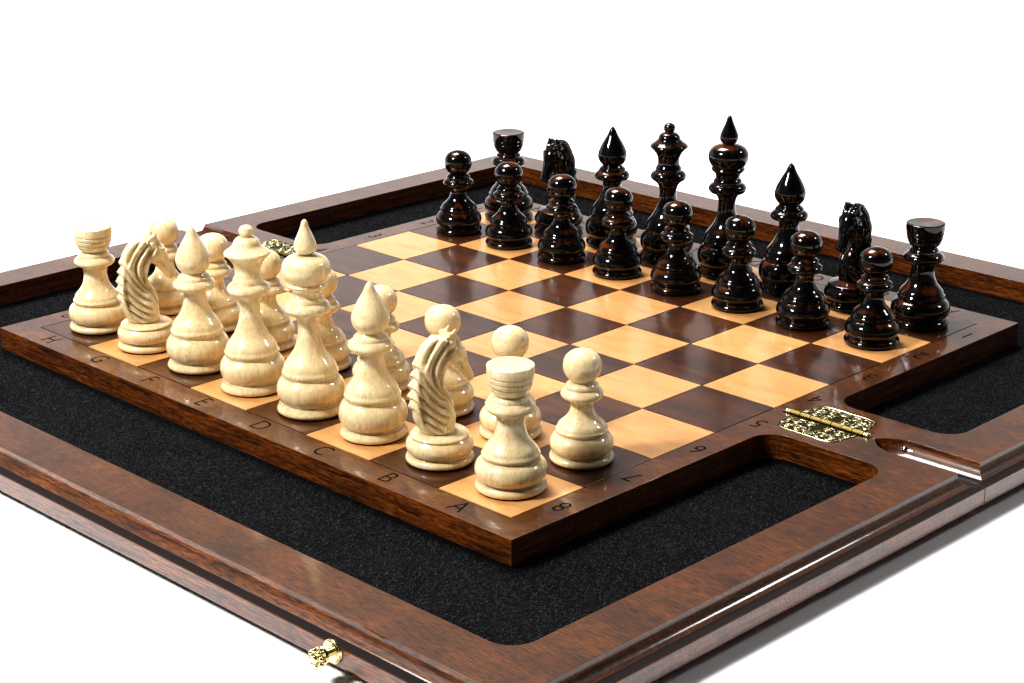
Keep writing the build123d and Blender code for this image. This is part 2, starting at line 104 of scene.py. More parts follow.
class ChessBoxColours(bpy.types.PropertyGroup):
    """Colours of the woods, felts and metals."""

    stain_dark: colour_property("Stain, dark", "#220c03", "Darkest streaks of the stained board")
    stain_mid: colour_property("Stain, middle", "#532b06", "Body colour of the stained board")
    stain_light: colour_property("Stain, light", "#88480e", "Lightest streaks of the stained board")
    maple_light: colour_property("Maple, light", "#d39e63", "Body colour of the light squares")
    maple_dark: colour_property("Maple, dark", "#b4753a", "Figure of the light squares")
    square_dark: colour_property("Dark square", "#301506", "Body colour of the dark squares")
    square_streak: colour_property("Dark square streak", "#5a2d0d", "Streaks of the dark squares")
    ivory_light: colour_property("Light men", "#ead4a6", "Body colour of the light men")
    ivory_dark: colour_property("Light men grain", "#d3b27d", "Grain of the light men")
    ebony_dark: colour_property("Dark men", "#030101", "Body colour of the dark men")
    # the amber of thin stain, also used as painted light on the dark men's upward-facing tops
    ebony_amber_and_top_light: colour_property("Dark men glow", "#70360c", "Brown that glows through the dark men's lacquer")
    felt: colour_property("Lining", "#020203", "Black felt of the trays")
    fibre: colour_property("Lining fibres", "#3a3c41", "Lightest loose fibres of the lining")
    brass: colour_property("Brass", "#8f8050", "Raised parts of the hinges and latches")
    brass_dark: colour_property("Brass, aged", "#1e180d", "Recesses of the hinges and latches")


def sizes():
    """The sizes set in the panel."""
    return bpy.context.scene.chess_box_sizes


def colours():
    """The colours set in the panel."""
    return bpy.context.scene.chess_box_colours


# ---------------------------------------------------------------- materials


def add_node(tree, kind, settings=None, **inputs):
    """Adds a node, and sets or links its inputs by name or number (in_2). A node as input gives its first output."""
    made = tree.nodes.new(kind)
    for name, value in (settings or {}).items():
        setattr(made, name, value)
    for name, value in inputs.items():
        key = int(name[3:]) if name.startswith("in_") else name.replace("_", " ")
        socket = made.inputs[key]
        if isinstance(value, bpy.types.Node):
            value = value.outputs[0]
        if isinstance(value, bpy.types.NodeSocket):
            tree.links.new(value, socket)
        elif socket.type == "RGBA" and len(value) == 3:
            socket.default_value = (*value, 1)
        else:
            socket.default_value = value
    return made


def new_material(name):
    """An empty material with its output, ready for a shader."""
    material = bpy.data.materials.new(name)
    material.use_nodes = True
    material.node_tree.nodes.clear()
    return material, material.node_tree


def close_material(tree, shader):
    """Links a shader to the material's output."""
    add_node(tree, "ShaderNodeOutputMaterial", Surface=shader)


def grain_noise(tree, size_mm, detail=3.0, roughness=0.55, shift=None, distortion=0.0):
    """Noise in the wood's own coordinates, its cells size_mm along X, Y and Z."""
    place = add_node(tree, "ShaderNodeTexCoord").outputs["Object"]
    if shift is not None:
        place = add_node(tree, "ShaderNodeVectorMath", {"operation": "ADD"}, in_0=place, in_1=shift)
    sized = add_node(tree, "ShaderNodeMapping", Vector=place, Scale=[1 / (each * MM) for each in size_mm])
    return add_node(
        tree, "ShaderNodeTexNoise", Vector=sized, Scale=1.0, Detail=detail, Roughness=roughness, Distortion=distortion
    ).outputs["Fac"]


def blend(tree, factor, first, second, way="MIX"):
    """The second colour laid over the first by a factor."""
    settings = {"data_type": "RGBA", "blend_type": way}
    return add_node(tree, "ShaderNodeMix", settings, Factor=factor, in_6=first, in_7=second).outputs[2]


def two_tones(tree, factor, first, second, low=0.3, high=0.7):
    """Blend of two colours where the factor goes from low to high."""
    spread = add_node(tree, "ShaderNodeMapRange", Value=factor, in_1=low, in_2=high)
    return blend(tree, spread, first, second)


def square_shift(tree):
    """A different stretch of timber for each square, so that no two squares match."""
    place = add_node(tree, "ShaderNodeTexCoord").outputs["Object"]
    cell = add_node(
        tree, "ShaderNodeVectorMath", {"operation": "DIVIDE"}, in_0=place, in_1=(sizes().square, sizes().square, 1.0)
    )
    whole = add_node(tree, "ShaderNodeVectorMath", {"operation": "FLOOR"}, in_0=cell)
    chance = add_node(tree, "ShaderNodeTexWhiteNoise", {"noise_dimensions": "3D"}, Vector=whole)
    return chance.outputs["Color"], chance.outputs["Value"]


def lacquered(tree, colour, roughness, coat, grain, peel=0.0, bump_mm=0.02, edge=None, haze=0.04, specular=0.3):
    """Wood shader: stained timber under a clear lacquer coat, with pores, flow marks and rubbed edges."""
    rounded = add_node(tree, "ShaderNodeBevel", {"samples": 4}, Radius=0.35 * MM)
    if edge is not None:
        wide = add_node(tree, "ShaderNodeBevel", {"samples": 4}, Radius=0.5 * MM)
        flat = add_node(tree, "ShaderNodeNewGeometry").outputs["True Normal"]
        alike = add_node(tree, "ShaderNodeVectorMath", {"operation": "DOT_PRODUCT"}, in_0=wide, in_1=flat).outputs[1]
        rubbed = add_node(tree, "ShaderNodeMapRange", Value=alike, in_1=0.995, in_2=0.85, in_3=0.0, in_4=0.75)
        colour = blend(tree, rubbed, colour, edge)
    pores = add_node(tree, "ShaderNodeBump", Strength=0.6, Distance=bump_mm * MM, Height=grain, Normal=rounded)
    flow = grain_noise(tree, (9, 5, 5), detail=1.0)
    coat_normal = add_node(tree, "ShaderNodeBump", Strength=0.5, Distance=peel * MM, Height=flow, Normal=rounded)
    return add_node(
        tree, "ShaderNodeBsdfPrincipled", Base_Color=colour, Roughness=roughness, IOR=1.5, Specular_IOR_Level=specular,
        Coat_Weight=coat, Coat_Roughness=haze, Coat_IOR=1.5, Normal=pores, Coat_Normal=coat_normal,
    )


def darkened(tree, colour, factor, amount):
    """A colour multiplied by a grey factor."""
    return blend(tree, amount, colour, factor, "MULTIPLY")


def stained_beech():
    """Beech stained brown under gloss lacquer: clouds of stain, layers 1 to 2 mm thick on the edges, short flecks."""
    material, tree = new_material("stained_beech_gloss_lacquer")
    hue = colours()
    place = add_node(tree, "ShaderNodeTexCoord")
    height = add_node(tree, "ShaderNodeSeparateXYZ", Vector=place.outputs["Object"]).outputs["Z"]
    facing = add_node(tree, "ShaderNodeSeparateXYZ", Vector=place.outputs["Normal"]).outputs["Z"]
    level = add_node(tree, "ShaderNodeMath", {"operation": "ABSOLUTE"}, in_0=facing)
    cloud = grain_noise(tree, (40, 20, 20), detail=4)
    layer = grain_noise(tree, (30, 30, 1.5), detail=4, roughness=0.7, distortion=0.9)
    streak = grain_noise(tree, (38, 2.2, 12), detail=3)
    fleck = grain_noise(tree, (5.0, 0.6, 0.6), detail=3)
    body = two_tones(tree, cloud, hue.stain_dark, hue.stain_mid, 0.15, 0.62)
    layered = two_tones(tree, layer, hue.stain_dark, hue.stain_light, 0.36, 0.72)
    sides = add_node(tree, "ShaderNodeMapRange", Value=level, in_1=0.35, in_2=0.9, in_3=0.95, in_4=0.22)
    body = blend(tree, sides, body, layered)
    marked = add_node(tree, "ShaderNodeMapRange", Value=fleck, in_1=0.38, in_2=0.60, in_3=0.4, in_4=1.55)
    body = darkened(tree, body, marked, 1.0)
    lined = add_node(tree, "ShaderNodeMapRange", Value=streak, in_1=0.3, in_2=0.65, in_3=0.6, in_4=1.1)
    body = darkened(tree, body, lined, 0.85)
    # painted shade: the ledge under the cove, outside the trays, is painted dark as the shade in the recess under the
    # cove; its lacquer is also made thin and dull there
    ledge_shade = add_node(
        tree, "ShaderNodeMath", {"operation": "COMPARE"}, in_0=height, in_1=COVE_LEDGE_Z * MM, in_2=0.35 * MM
    )
    spread = add_node(tree, "ShaderNodeVectorMath", {"operation": "ABSOLUTE"}, in_0=place.outputs["Object"])
    apart = add_node(tree, "ShaderNodeSeparateXYZ", Vector=spread)
    far = add_node(tree, "ShaderNodeMath", {"operation": "MAXIMUM"}, in_0=apart.outputs["X"], in_1=apart.outputs["Y"])
    outside = add_node(tree, "ShaderNodeMath", {"operation": "GREATER_THAN"}, in_0=far, in_1=BEYOND_TRAYS * MM)
    ledge_shade = add_node(tree, "ShaderNodeMath", {"operation": "MULTIPLY"}, in_0=ledge_shade, in_1=outside)
    body = blend(tree, ledge_shade, body, linear("#140703"))
    gloss = add_node(tree, "ShaderNodeMapRange", Value=ledge_shade, in_3=0.9, in_4=0.12)
    dull = add_node(tree, "ShaderNodeMapRange", Value=ledge_shade, in_3=0.42, in_4=0.95)
    close_material(tree, lacquered(tree, body, dull, gloss, fleck, peel=0.012, edge=linear("#7a4216"), haze=0.09))
    return material


def base_board():
    """Thin birch board under the box, stained and only sealed, so it is duller than the rim."""
    material, tree = new_material("stained_birch_sealed")
    hue = colours()
    streak = grain_noise(tree, (120, 3.5, 3.5), detail=4)
    fleck = grain_noise(tree, (5.0, 0.5, 0.5), detail=2)
    body = two_tones(tree, streak, hue.stain_mid, linear("#7a431c"), 0.35, 0.7)
    close_material(tree, lacquered(tree, body, 0.55, 0.25, fleck, peel=0.01))
    return material


def maple_squares():
    """Maple veneer under the lacquer: warm, with faint cross flames and fine pores."""
    material, tree = new_material("maple_veneer_lacquered")
    hue = colours()
    shift, chance = square_shift(tree)
    flame = grain_noise(tree, (30, 10, 10), detail=3, shift=shift, distortion=0.8)
    streak = grain_noise(tree, (9, 0.7, 0.7), detail=3, shift=shift)
    body = two_tones(tree, flame, hue.maple_light, hue.maple_dark, 0.42, 1.05)
    body = two_tones(tree, streak, body, hue.maple_dark, 0.5, 0.95)
    tone = add_node(tree, "ShaderNodeMapRange", Value=chance, in_3=0.86, in_4=1.06)
    body = darkened(tree, body, tone, 1.0)
    close_material(tree, lacquered(tree, body, 0.38, 0.75, streak, peel=0.02, bump_mm=0.01, haze=0.13))
    return material


def stained_squares():
    """Beech veneer stained dark under the same lacquer."""
    material, tree = new_material("stained_veneer_lacquered")
    hue = colours()
    shift, chance = square_shift(tree)
    broad = grain_noise(tree, (40, 9, 9), detail=3, shift=shift, distortion=0.5)
    streak = grain_noise(tree, (8, 0.6, 0.6), detail=3, shift=shift)
    body = two_tones(tree, broad, hue.square_dark, hue.square_streak, 0.35, 0.8)
    body = two_tones(tree, streak, body, hue.stain_light, 0.55, 1.0)
    tone = add_node(tree, "ShaderNodeMapRange", Value=chance, in_3=0.75, in_4=1.15)
    body = darkened(tree, body, tone, 1.0)
    close_material(tree, lacquered(tree, body, 0.4, 0.8, streak, peel=0.02, bump_mm=0.01, haze=0.13))
    return material


def felt_lining():
    """Needled black felt: a matt matted ground, its tufts about 1 mm across, drawn as coarse as they show."""
    material, tree = new_material("needled_felt_black")
    hue = colours()
    tuft = grain_noise(tree, (0.7, 0.7, 0.7), detail=3, roughness=0.8)
    matted = grain_noise(tree, (22, 14, 14), detail=3)
    body = two_tones(tree, tuft, hue.felt, linear("#222327"), 0.48, 0.72)
    body = two_tones(tree, matted, body, linear("#010101"), 0.42, 0.75)
    rough = add_node(tree, "ShaderNodeBump", Strength=1.0, Distance=0.9 * MM, Height=tuft)
    shader = add_node(
        tree, "ShaderNodeBsdfPrincipled", Base_Color=body, Roughness=0.95, Specular_IOR_Level=0.1, Normal=rough
    )
    close_material(tree, shader)
    return material


def felt_fibres():
    """Loose polyester fibres standing off the felt, each its own grey."""
    material, tree = new_material("polyester_fibre_black")
    hue = colours()
    chance = add_node(tree, "ShaderNodeNewGeometry").outputs["Random Per Island"]
    body = two_tones(tree, chance, linear("#08080a"), hue.fibre, 0.35, 1.0)
    shader = add_node(tree, "ShaderNodeBsdfPrincipled", Base_Color=body, Roughness=0.6, Specular_IOR_Level=0.3)
    close_material(tree, shader)
    return material


def disc_felt():
    """Thin pressed wool felt under each man, its nap about 0.4 mm."""
    material, tree = new_material("pressed_felt_dark")
    nap = grain_noise(tree, (0.4, 0.4, 0.4), detail=3, roughness=0.7)
    body = two_tones(tree, nap, linear("#0c0907"), linear("#2a211a"), 0.4, 0.8)
    rough = add_node(tree, "ShaderNodeBump", Strength=0.8, Distance=0.2 * MM, Height=nap)
    shader = add_node(tree, "ShaderNodeBsdfPrincipled", Roughness=0.95, Base_Color=body, Normal=rough)
    close_material(tree, shader)
    return material


def painted_groove_shade(tree, colour, reach_mm, deepest):
    """Darkens a colour where the surface is hemmed in within a reach: painted shade in the grooves and creases."""
    open_sky = add_node(tree, "ShaderNodeAmbientOcclusion", {"samples": 4, "only_local": True}, Distance=reach_mm * MM)
    shade = add_node(
        tree, "ShaderNodeMapRange", Value=open_sky.outputs["AO"], in_1=0.35, in_2=0.95, in_3=deepest, in_4=1.0
    )
    return darkened(tree, colour, shade, 1.0)


def lacquered_hornbeam():
    """Hornbeam, turned and lacquered clear: creamy, fine flecks up the grain, glossy."""
    material, tree = new_material("hornbeam_turned_clear_lacquer")
    hue = colours()
    streak = grain_noise(tree, (2.6, 2.6, 20), detail=3, distortion=0.6)
    fleck = grain_noise(tree, (0.5, 0.5, 2.2), detail=2)
    body = two_tones(tree, streak, hue.ivory_light, hue.ivory_dark, 0.40, 0.85)
    body = two_tones(tree, fleck, linear("#a98150"), body, 0.18, 0.44)
    # painted shade: the light men are darkened in their grooves and creases
    body = painted_groove_shade(tree, body, 2.0, 0.55)
    shader = lacquered(tree, body, 0.33, 1.0, fleck, peel=0.012, bump_mm=0.008, haze=0.025)
    close_material(tree, shader)
    return material


def ebonised_hornbeam():
    """Hornbeam stained nearly black under deep gloss: an amber brown shows in broad patches where the stain is thin,
    and more of it on the upward-facing tops as painted light.
    """
    material, tree = new_material("hornbeam_ebonised_gloss_lacquer")
    hue = colours()
    broad = grain_noise(tree, (7, 7, 16), detail=3, distortion=0.5)
    fleck = grain_noise(tree, (0.5, 0.5, 3.0), detail=2)
    facing = add_node(tree, "ShaderNodeSeparateXYZ", Vector=add_node(tree, "ShaderNodeTexCoord").outputs["Normal"])
    # painted light: upward-facing surfaces take more of the amber brown, as if lit from above; the broad noise is the
    # real thin stain
    lit_tops = add_node(tree, "ShaderNodeMapRange", Value=facing.outputs["Z"], in_1=0.1, in_2=0.9, in_3=0.0, in_4=0.4)
    thin = add_node(tree, "ShaderNodeMath", {"operation": "ADD"}, in_0=broad, in_1=lit_tops)
    body = two_tones(tree, thin, hue.ebony_dark, hue.ebony_amber_and_top_light, 0.80, 1.2)
    shader = lacquered(tree, body, 0.5, 1.0, fleck, peel=0.006, bump_mm=0.004, haze=0.015, specular=0.04)
    close_material(tree, shader)
    return material


def cast_brass(name, light, dark, roughness, patina=(0.36, 0.56), dent=0.1, rubbed=None):
    """Brass, die cast and antiqued: the raised parts are rubbed bright, dark patina stays in the pits of 0.5 mm."""
    material, tree = new_material(name)
    pits = grain_noise(tree, (0.5, 0.5, 0.5), detail=3, roughness=0.6)
    stains = grain_noise(tree, (5, 5, 5), detail=2)
    body = two_tones(tree, pits, dark, light, *patina)
    body = two_tones(tree, stains, light, body, 0.1, 0.4)
    if rubbed is not None:
        place = add_node(tree, "ShaderNodeTexCoord").outputs["Object"]
        height = add_node(tree, "ShaderNodeSeparateXYZ", Vector=place).outputs["Z"]
        body = two_tones(tree, height, body, rubbed, 18.35 * MM, 18.9 * MM)
    worn = add_node(tree, "ShaderNodeMapRange", Value=pits, in_3=roughness + 0.2, in_4=roughness - 0.05)
    dents = add_node(tree, "ShaderNodeBump", Strength=0.7, Distance=dent * MM, Height=pits)
    shader = add_node(tree, "ShaderNodeBsdfPrincipled", Metallic=1.0, Base_Color=body, Roughness=worn, Normal=dents)
    close_material(tree, shader)
    return material


def plated_steel():
    """Steel pins, turned and nickel plated: bright, with fine draw marks."""
    material, tree = new_material("steel_turned_nickel_plated")
    marks = grain_noise(tree, (3.0, 0.3, 0.3), detail=2)
    body = two_tones(tree, marks, linear("#a09c92"), linear("#dcdad4"), 0.3, 0.7)
    dents = add_node(tree, "ShaderNodeBump", Strength=0.4, Distance=0.01 * MM, Height=marks)
    shader = add_node(tree, "ShaderNodeBsdfPrincipled", Metallic=1.0, Base_Color=body, Roughness=0.16, Normal=dents)
    close_material(tree, shader)
    return material


def burnt_line():
    """Wood burnt by the engraving tool and filled with dark lacquer: matt brown black."""
    material, tree = new_material("beech_engraved_burnt")
    char = grain_noise(tree, (1.2, 0.4, 0.4), detail=3)
    body = two_tones(tree, char, linear("#0a0403"), linear("#220e06"), 0.35, 0.8)
    dents = add_node(tree, "ShaderNodeBump", Strength=0.6, Distance=0.05 * MM, Height=char)
    shader = add_node(
        tree, "ShaderNodeBsdfPrincipled", Base_Color=body, Roughness=0.8, Specular_IOR_Level=0.05, Normal=dents
    )
    close_material(tree, shader)
    return material


# ------------------------------------------------------------- mesh helpers


def add_object(name, data):
    """A new object in the scene."""
    made = bpy.data.objects.new(name, data)
    bpy.context.scene.collection.objects.link(made)
    return made


def evaluated_mesh(holder):
    """The mesh that an object shows, after which the object is removed."""
    bpy.context.view_layer.update()
    mesh = bpy.data.meshes.new_from_object(holder.evaluated_get(bpy.context.evaluated_depsgraph_get()))
    bpy.data.objects.remove(holder)
    return mesh


def make_piece(name, vertices, faces, material, body, slot=None, smooth=True, sharp_degrees=None):
    """A new piece from vertices in millimetres, riding on a body of the frame."""
    mesh = bpy.data.meshes.new(name)
    mesh.from_pydata((np.asarray(vertices, float) * MM).tolist(), [], faces)
    mesh.materials.append(material)
    if smooth:
        mesh.shade_smooth()
    if sharp_degrees is not None:
        mesh.set_sharp_from_angle(angle=math.radians(sharp_degrees))
    mesh.update()
    piece = add_object(name, mesh)
    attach(piece, body)
    return piece


def finish_node(node, material):
    """Gives a node of the frame its real finish."""
    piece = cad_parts[node]
    if piece.material_slots:
        for place in piece.material_slots:
            place.material = material
    else:
        piece.data.materials.append(material)


def join_meshes(parts):
    """Several (vertices, faces) as one."""
    vertices, faces, start = [], [], 0
    for some_vertices, some_faces in parts:
        some_vertices = np.asarray(some_vertices, float)
        vertices.append(some_vertices)
        faces.extend([tuple(i + start for i in face) for face in some_faces])
        start += len(some_vertices)
    return np.concatenate(vertices), faces


def tube(path, radii, sides=8):
    """A round bar along a path in millimetres, with closed ends."""
    path = np.asarray(path, float)
    radii = np.broadcast_to(np.asarray(radii, float), (len(path),))
    forward = np.gradient(path, axis=0)
    forward /= np.linalg.norm(forward, axis=1)[:, None]
    side = np.cross(forward, (0.0, 0.0, 1.0))
    short = np.linalg.norm(side, axis=1) < 0.1
    side[short] = np.cross(forward[short], (1.0, 0.0, 0.0))
    side /= np.linalg.norm(side, axis=1)[:, None]
    up = np.cross(side, forward)
    turn = np.linspace(0, 2 * math.pi, sides, endpoint=False)
    rings = (
        path[:, None]
        + radii[:, None, None] * np.cos(turn)[None, :, None] * side[:, None]
        + radii[:, None, None] * np.sin(turn)[None, :, None] * up[:, None]
    )
    return ring_mesh(rings)


def ring_faces(count, sides):
    """The faces between rings of equally many points."""
    faces = []
    for i in range(count - 1):
        for j in range(sides):
            k = (j + 1) % sides
            faces.append((i * sides + j, i * sides + k, (i + 1) * sides + k, (i + 1) * sides + j))
    return faces


def ring_mesh(rings):
    """Faces between rings of equally many points, and over both ends."""
    count, sides = rings.shape[:2]
    faces = ring_faces(count, sides)
    faces.append(tuple(range(sides))[::-1])
    faces.append(tuple((count - 1) * sides + j for j in range(sides)))
    return rings.reshape(-1, 3), faces


def smooth_curve(points, steps):
    """A curve through points, natural at both ends, as steps points."""
    points = np.asarray(points, float)
    gaps = np.linalg.norm(np.diff(points, axis=0), axis=1)
    at = np.concatenate([[0], np.cumsum(gaps)])
    count = len(points)
    if count < 3:
        where = np.linspace(0, 1, steps)[:, None]
        return points[0] * (1 - where) + points[-1] * where
    matrix = np.zeros((count, count))
    right = np.zeros_like(points)
    matrix[0, 0] = matrix[-1, -1] = 1
    for i in range(1, count - 1):
        matrix[i, i - 1 : i + 2] = gaps[i - 1], 2 * (gaps[i - 1] + gaps[i]), gaps[i]
        right[i] = 6 * ((points[i + 1] - points[i]) / gaps[i] - (points[i] - points[i - 1]) / gaps[i - 1])
    bend = np.linalg.solve(matrix, right)
    out = []
    for s in np.linspace(0, at[-1], steps):
        i = min(int(np.searchsorted(at, s, side="right")) - 1, count - 2)
        h, a, b = gaps[i], at[i + 1] - s, s - at[i]
        out.append(
            bend[i] * a**3 / (6 * h)
            + bend[i + 1] * b**3 / (6 * h)
            + (points[i] / h - bend[i] * h / 6) * a
            + (points[i + 1] / h - bend[i + 1] * h / 6) * b
        )
    return np.array(out)


class CHESSBOX_OT_boards(bpy.types.Operator):
    """Stain and lacquer both halves, their bottoms and the inlaid squares"""

    bl_idname = "chessbox.boards"
    bl_label = "Boards and squares"

    def execute(self, context):
        rim, base = stained_beech(), base_board()
        light, dark = maple_squares(), stained_squares()
        for half in ("near", "far"):
            finish_node(half + "_board", rim)
            finish_node(half + "_base_panel", base)
            finish_node(half + "_light_squares", light)
            finish_node(half + "_dark_squares", dark)
        return {"FINISHED"}


# ------------------------------------------------------------------ linings


def tray_points(side, inset, lift):
    """The tray's outline shrunk by inset, at one height, corner by corner with the same number of points."""
    shrunk = LINING_PLAY + inset
    outer, inner, fold = TRAY_OUTER - shrunk, TRAY_INNER + shrunk, TRAY_FOLD + shrunk
    corner = max(TRAY_CORNER - inset, 0.5)
    ways = [
        (-outer, fold, corner, 180, 270),
        (-inner, fold, corner, 270, 360),
        (-inner, inner, 0, 0, 0),
        (inner, inner, 0, 0, 0),
        (inner, fold, corner, 180, 270),
        (outer, fold, corner, 270, 360),
        (outer, outer, corner, 0, 90),
        (-outer, outer, corner, 90, 180),
    ]
    points = []
    for x, y, radius, start, stop in ways:
        if not radius:
            points.append((x, side * y, lift))
            continue
        cx = x + radius * (1 if math.cos(math.radians((start + stop) / 2)) < 0 else -1)
        cy = y + radius * (1 if math.sin(math.radians((start + stop) / 2)) < 0 else -1)
        for k in range(9):
            a = math.radians(start + (stop - start) * k / 8)
            points.append((cx + radius * math.cos(a), side * (cy + radius * math.sin(a)), lift))
    return points


def tray_lining(side):
    """The felt of one tray: flat where it is glued, climbing a little at the walls."""
    top, curl = sizes().lining_top / MM, sizes().lining_curl / MM
    steps = [(0.0, curl), (0.25, curl * 0.75), (0.9, curl * 0.35), (2.0, curl * 0.12), (3.6, 0.0)]
    rings = [tray_points(side, inset, top + lift) for inset, lift in steps]
    count = len(rings[0])
    vertices = [p for ring in rings for p in ring]
    faces = ring_faces(len(rings), count)
    faces.append(tuple((len(rings) - 1) * count + j for j in range(count)))
    if side < 0:
        faces = [face[::-1] for face in faces]
    return vertices, faces


def in_tray(x, y, inset):
    """Whether a point lies in the plan of a tray, y counted away from the fold."""
    shrunk = LINING_PLAY + inset
    outer, inner, fold = TRAY_OUTER - shrunk, TRAY_INNER + shrunk, TRAY_FOLD + shrunk
    return abs(x) < outer and fold < y < outer and not (abs(x) < inner and y < inner)


def loose_fibres(side, count, chance):
    """Bent fibres lying on the felt, thicker than the real 0.03 mm so that they show."""
    top, reach = sizes().lining_top / MM, sizes().fibre_length / MM
    vertices, faces = [], []
    while len(faces) < 2 * count:
        x, y = chance.uniform(-TRAY_OUTER, TRAY_OUTER), chance.uniform(TRAY_FOLD, TRAY_OUTER)
        if not in_tray(x, y, 0.6):
            continue
        turn, length = chance.uniform(0, 2 * math.pi), reach * chance.uniform(0.45, 1.25)
        bend, rise, wide = chance.uniform(-0.9, 0.9), chance.uniform(0.1, 0.8), chance.uniform(0.03, 0.08)
        start = len(vertices)
        px, py = x, y
        inside = True
        for k in range(3):
            a = turn + bend * k
            nx, ny = -math.sin(a) * wide, math.cos(a) * wide
            z = top + (0.1, rise, rise * chance.uniform(0.2, 1.1))[k]
            vertices += [(px + nx, side * (py + ny), z), (px - nx, side * (py - ny), z)]
            inside = inside and in_tray(px, py, 0.2)
            px, py = px + math.cos(a) * length / 2, py + math.sin(a) * length / 2
        if not inside:
            del vertices[start:]
            continue
        faces += [(start, start + 1, start + 3, start + 2), (start + 2, start + 3, start + 5, start + 4)]
    return vertices, faces


class CHESSBOX_OT_linings(bpy.types.Operator):
    """Lay the black felt in both trays, with its loose fibres"""

    bl_idname = "chessbox.linings"
    bl_label = "Tray linings"

    def execute(self, context):
        felt, fibre = felt_lining(), felt_fibres()
        count = 52000
        for half, side in HALVES:
            vertices, faces = tray_lining(side)
            lining = make_piece(half + "_lining", vertices, faces, felt, half + "_half", "tray_felt")
            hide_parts(half + "_tray_felt")
            vertices, faces = loose_fibres(side, count, random.Random(7 + side))
            nap = make_piece(half + "_lining_fibres", vertices, faces, fibre, half + "_half", "tray_felt", smooth=False)
        return {"FINISHED"}


# -------------------------------------------------------------- engraving


def glyph_mesh(text, height_mm):
    """A letter as flat vertices and faces in millimetres, centred, of that height."""
    curve = bpy.data.curves.new("glyph", "FONT")
    curve.body = text
    curve.size = 1.0
    curve.offset = -0.006
    curve.resolution_u = 6
    mesh = evaluated_mesh(add_object("glyph", curve))
    points = np.array([v.co[:] for v in mesh.vertices])
    faces = [tuple(p.vertices) for p in mesh.polygons]
    bpy.data.curves.remove(curve)
    bpy.data.meshes.remove(mesh)
    low, high = points.min(0), points.max(0)
    points = (points - (low + high) / 2) * (height_mm / (high[1] - low[1]))
    points[:, 0] *= 0.86
    return points, faces


def square_centre(index):
    """X of a file or Y of a rank, counted from the negative side."""
    return (index - 3.5) * sizes().square / MM


class CHESSBOX_OT_engraving(bpy.types.Operator):
    """Engrave the letters and numbers in the border"""

    bl_idname = "chessbox.engraving"
    bl_label = "Letters and numbers"

    def execute(self, context):
        burnt = burnt_line()
        top, height = sizes().board_top / MM, sizes().glyph_height / MM
        lift = 0.015
        engraved = {-1: [], 1: []}
        for index in range(8):
            letter = glyph_mesh("HGFEDCBA"[index], height)
            for side in (-1, 1):
                turned = np.array(letter[0]) * (1 if side < 0 else -1)
                turned += (square_centre(index) - 1.0 * (side < 0), side * LETTERS_Y, 0)
                turned[:, 2] = top + lift
                engraved[side].append((turned, letter[1]))
            number = glyph_mesh(str(8 - index), height)
            for end in (-1, 1):
                turned = np.array(number[0]) * (1 if end < 0 else -1)
                turned += (end * NUMBERS_X, square_centre(index) + 0.4, 0)
                turned[:, 2] = top + lift
                engraved[-1 if index < 4 else 1].append((turned, number[1]))
        for half, side in HALVES:
            vertices, faces = join_meshes(engraved[side])
            make_piece(half + "_engraving", vertices, faces, burnt, half + "_half", "board_wood", smooth=False)
        return {"FINISHED"}


# ------------------------------------------------------------ metal fittings


def leaf_points(side, inset, count=24):
    """The hinge leaf's ogee outline from the fold outwards, for the border of its relief."""
    at_fold, at_waist, at_corner = 17.2, 15.6, 14.0
    start_y, waist_y, corner_y, end_y, bulge = 2.2, 8.1, 14.8, 17.0, 2.3
    outline = []
    for y in np.linspace(start_y, end_y - inset, count):
        if y < waist_y:
            half = at_fold + (at_waist - at_fold) * (y / waist_y)
        elif y < corner_y:
            half = at_waist + (at_corner - at_waist) * ((y - waist_y) / (corner_y - waist_y))
        else:
            half = at_corner * math.sqrt(max(0.0, 1 - ((y - corner_y) / bulge) ** 2))
        outline.append((max(half - inset, 0.0), side * y))
    left = [(-x, y) for x, y in outline]
    return outline + left[::-1]


def scroll(cx, cy, radius, start, turns, hand, wire, z, steps=40):
    """A cast scroll: a half-sunk wire winding inwards to a button."""
    path, radii = [], []
    for k in range(steps):
        f = k / (steps - 1)
        a = start + hand * turns * 2 * math.pi * f
        r = radius * (1 - 0.82 * f)
        path.append((cx + r * math.cos(a), cy + r * math.sin(a), z))
        radii.append(wire * (0.55 + 0.7 * math.sin(math.pi * min(f * 1.15, 1.0))))
    button = [(cx, cy, z - 0.25), (cx, cy, z), (cx, cy, z + 0.3), (cx, cy, z + 0.42)]
    return [tube(path, radii, 8), tube(button, [wire * 1.7, wire * 1.7, wire * 1.1, 0.05], 10)]


def petal(cx, cy, turn, long, wide, high, z, steps=7):
    """A raised leaf-shaped lobe of the ornament."""
    path, radii = [], []
    for k in range(steps):
        f = k / (steps - 1)
        out = long * f
        path.append((cx + out * math.cos(turn), cy + out * math.sin(turn), z + high * math.sin(math.pi * f)))
        radii.append(max(wide * math.sin(math.pi * (0.08 + 0.86 * f)), 0.04))
    return tube(path, radii, 8)


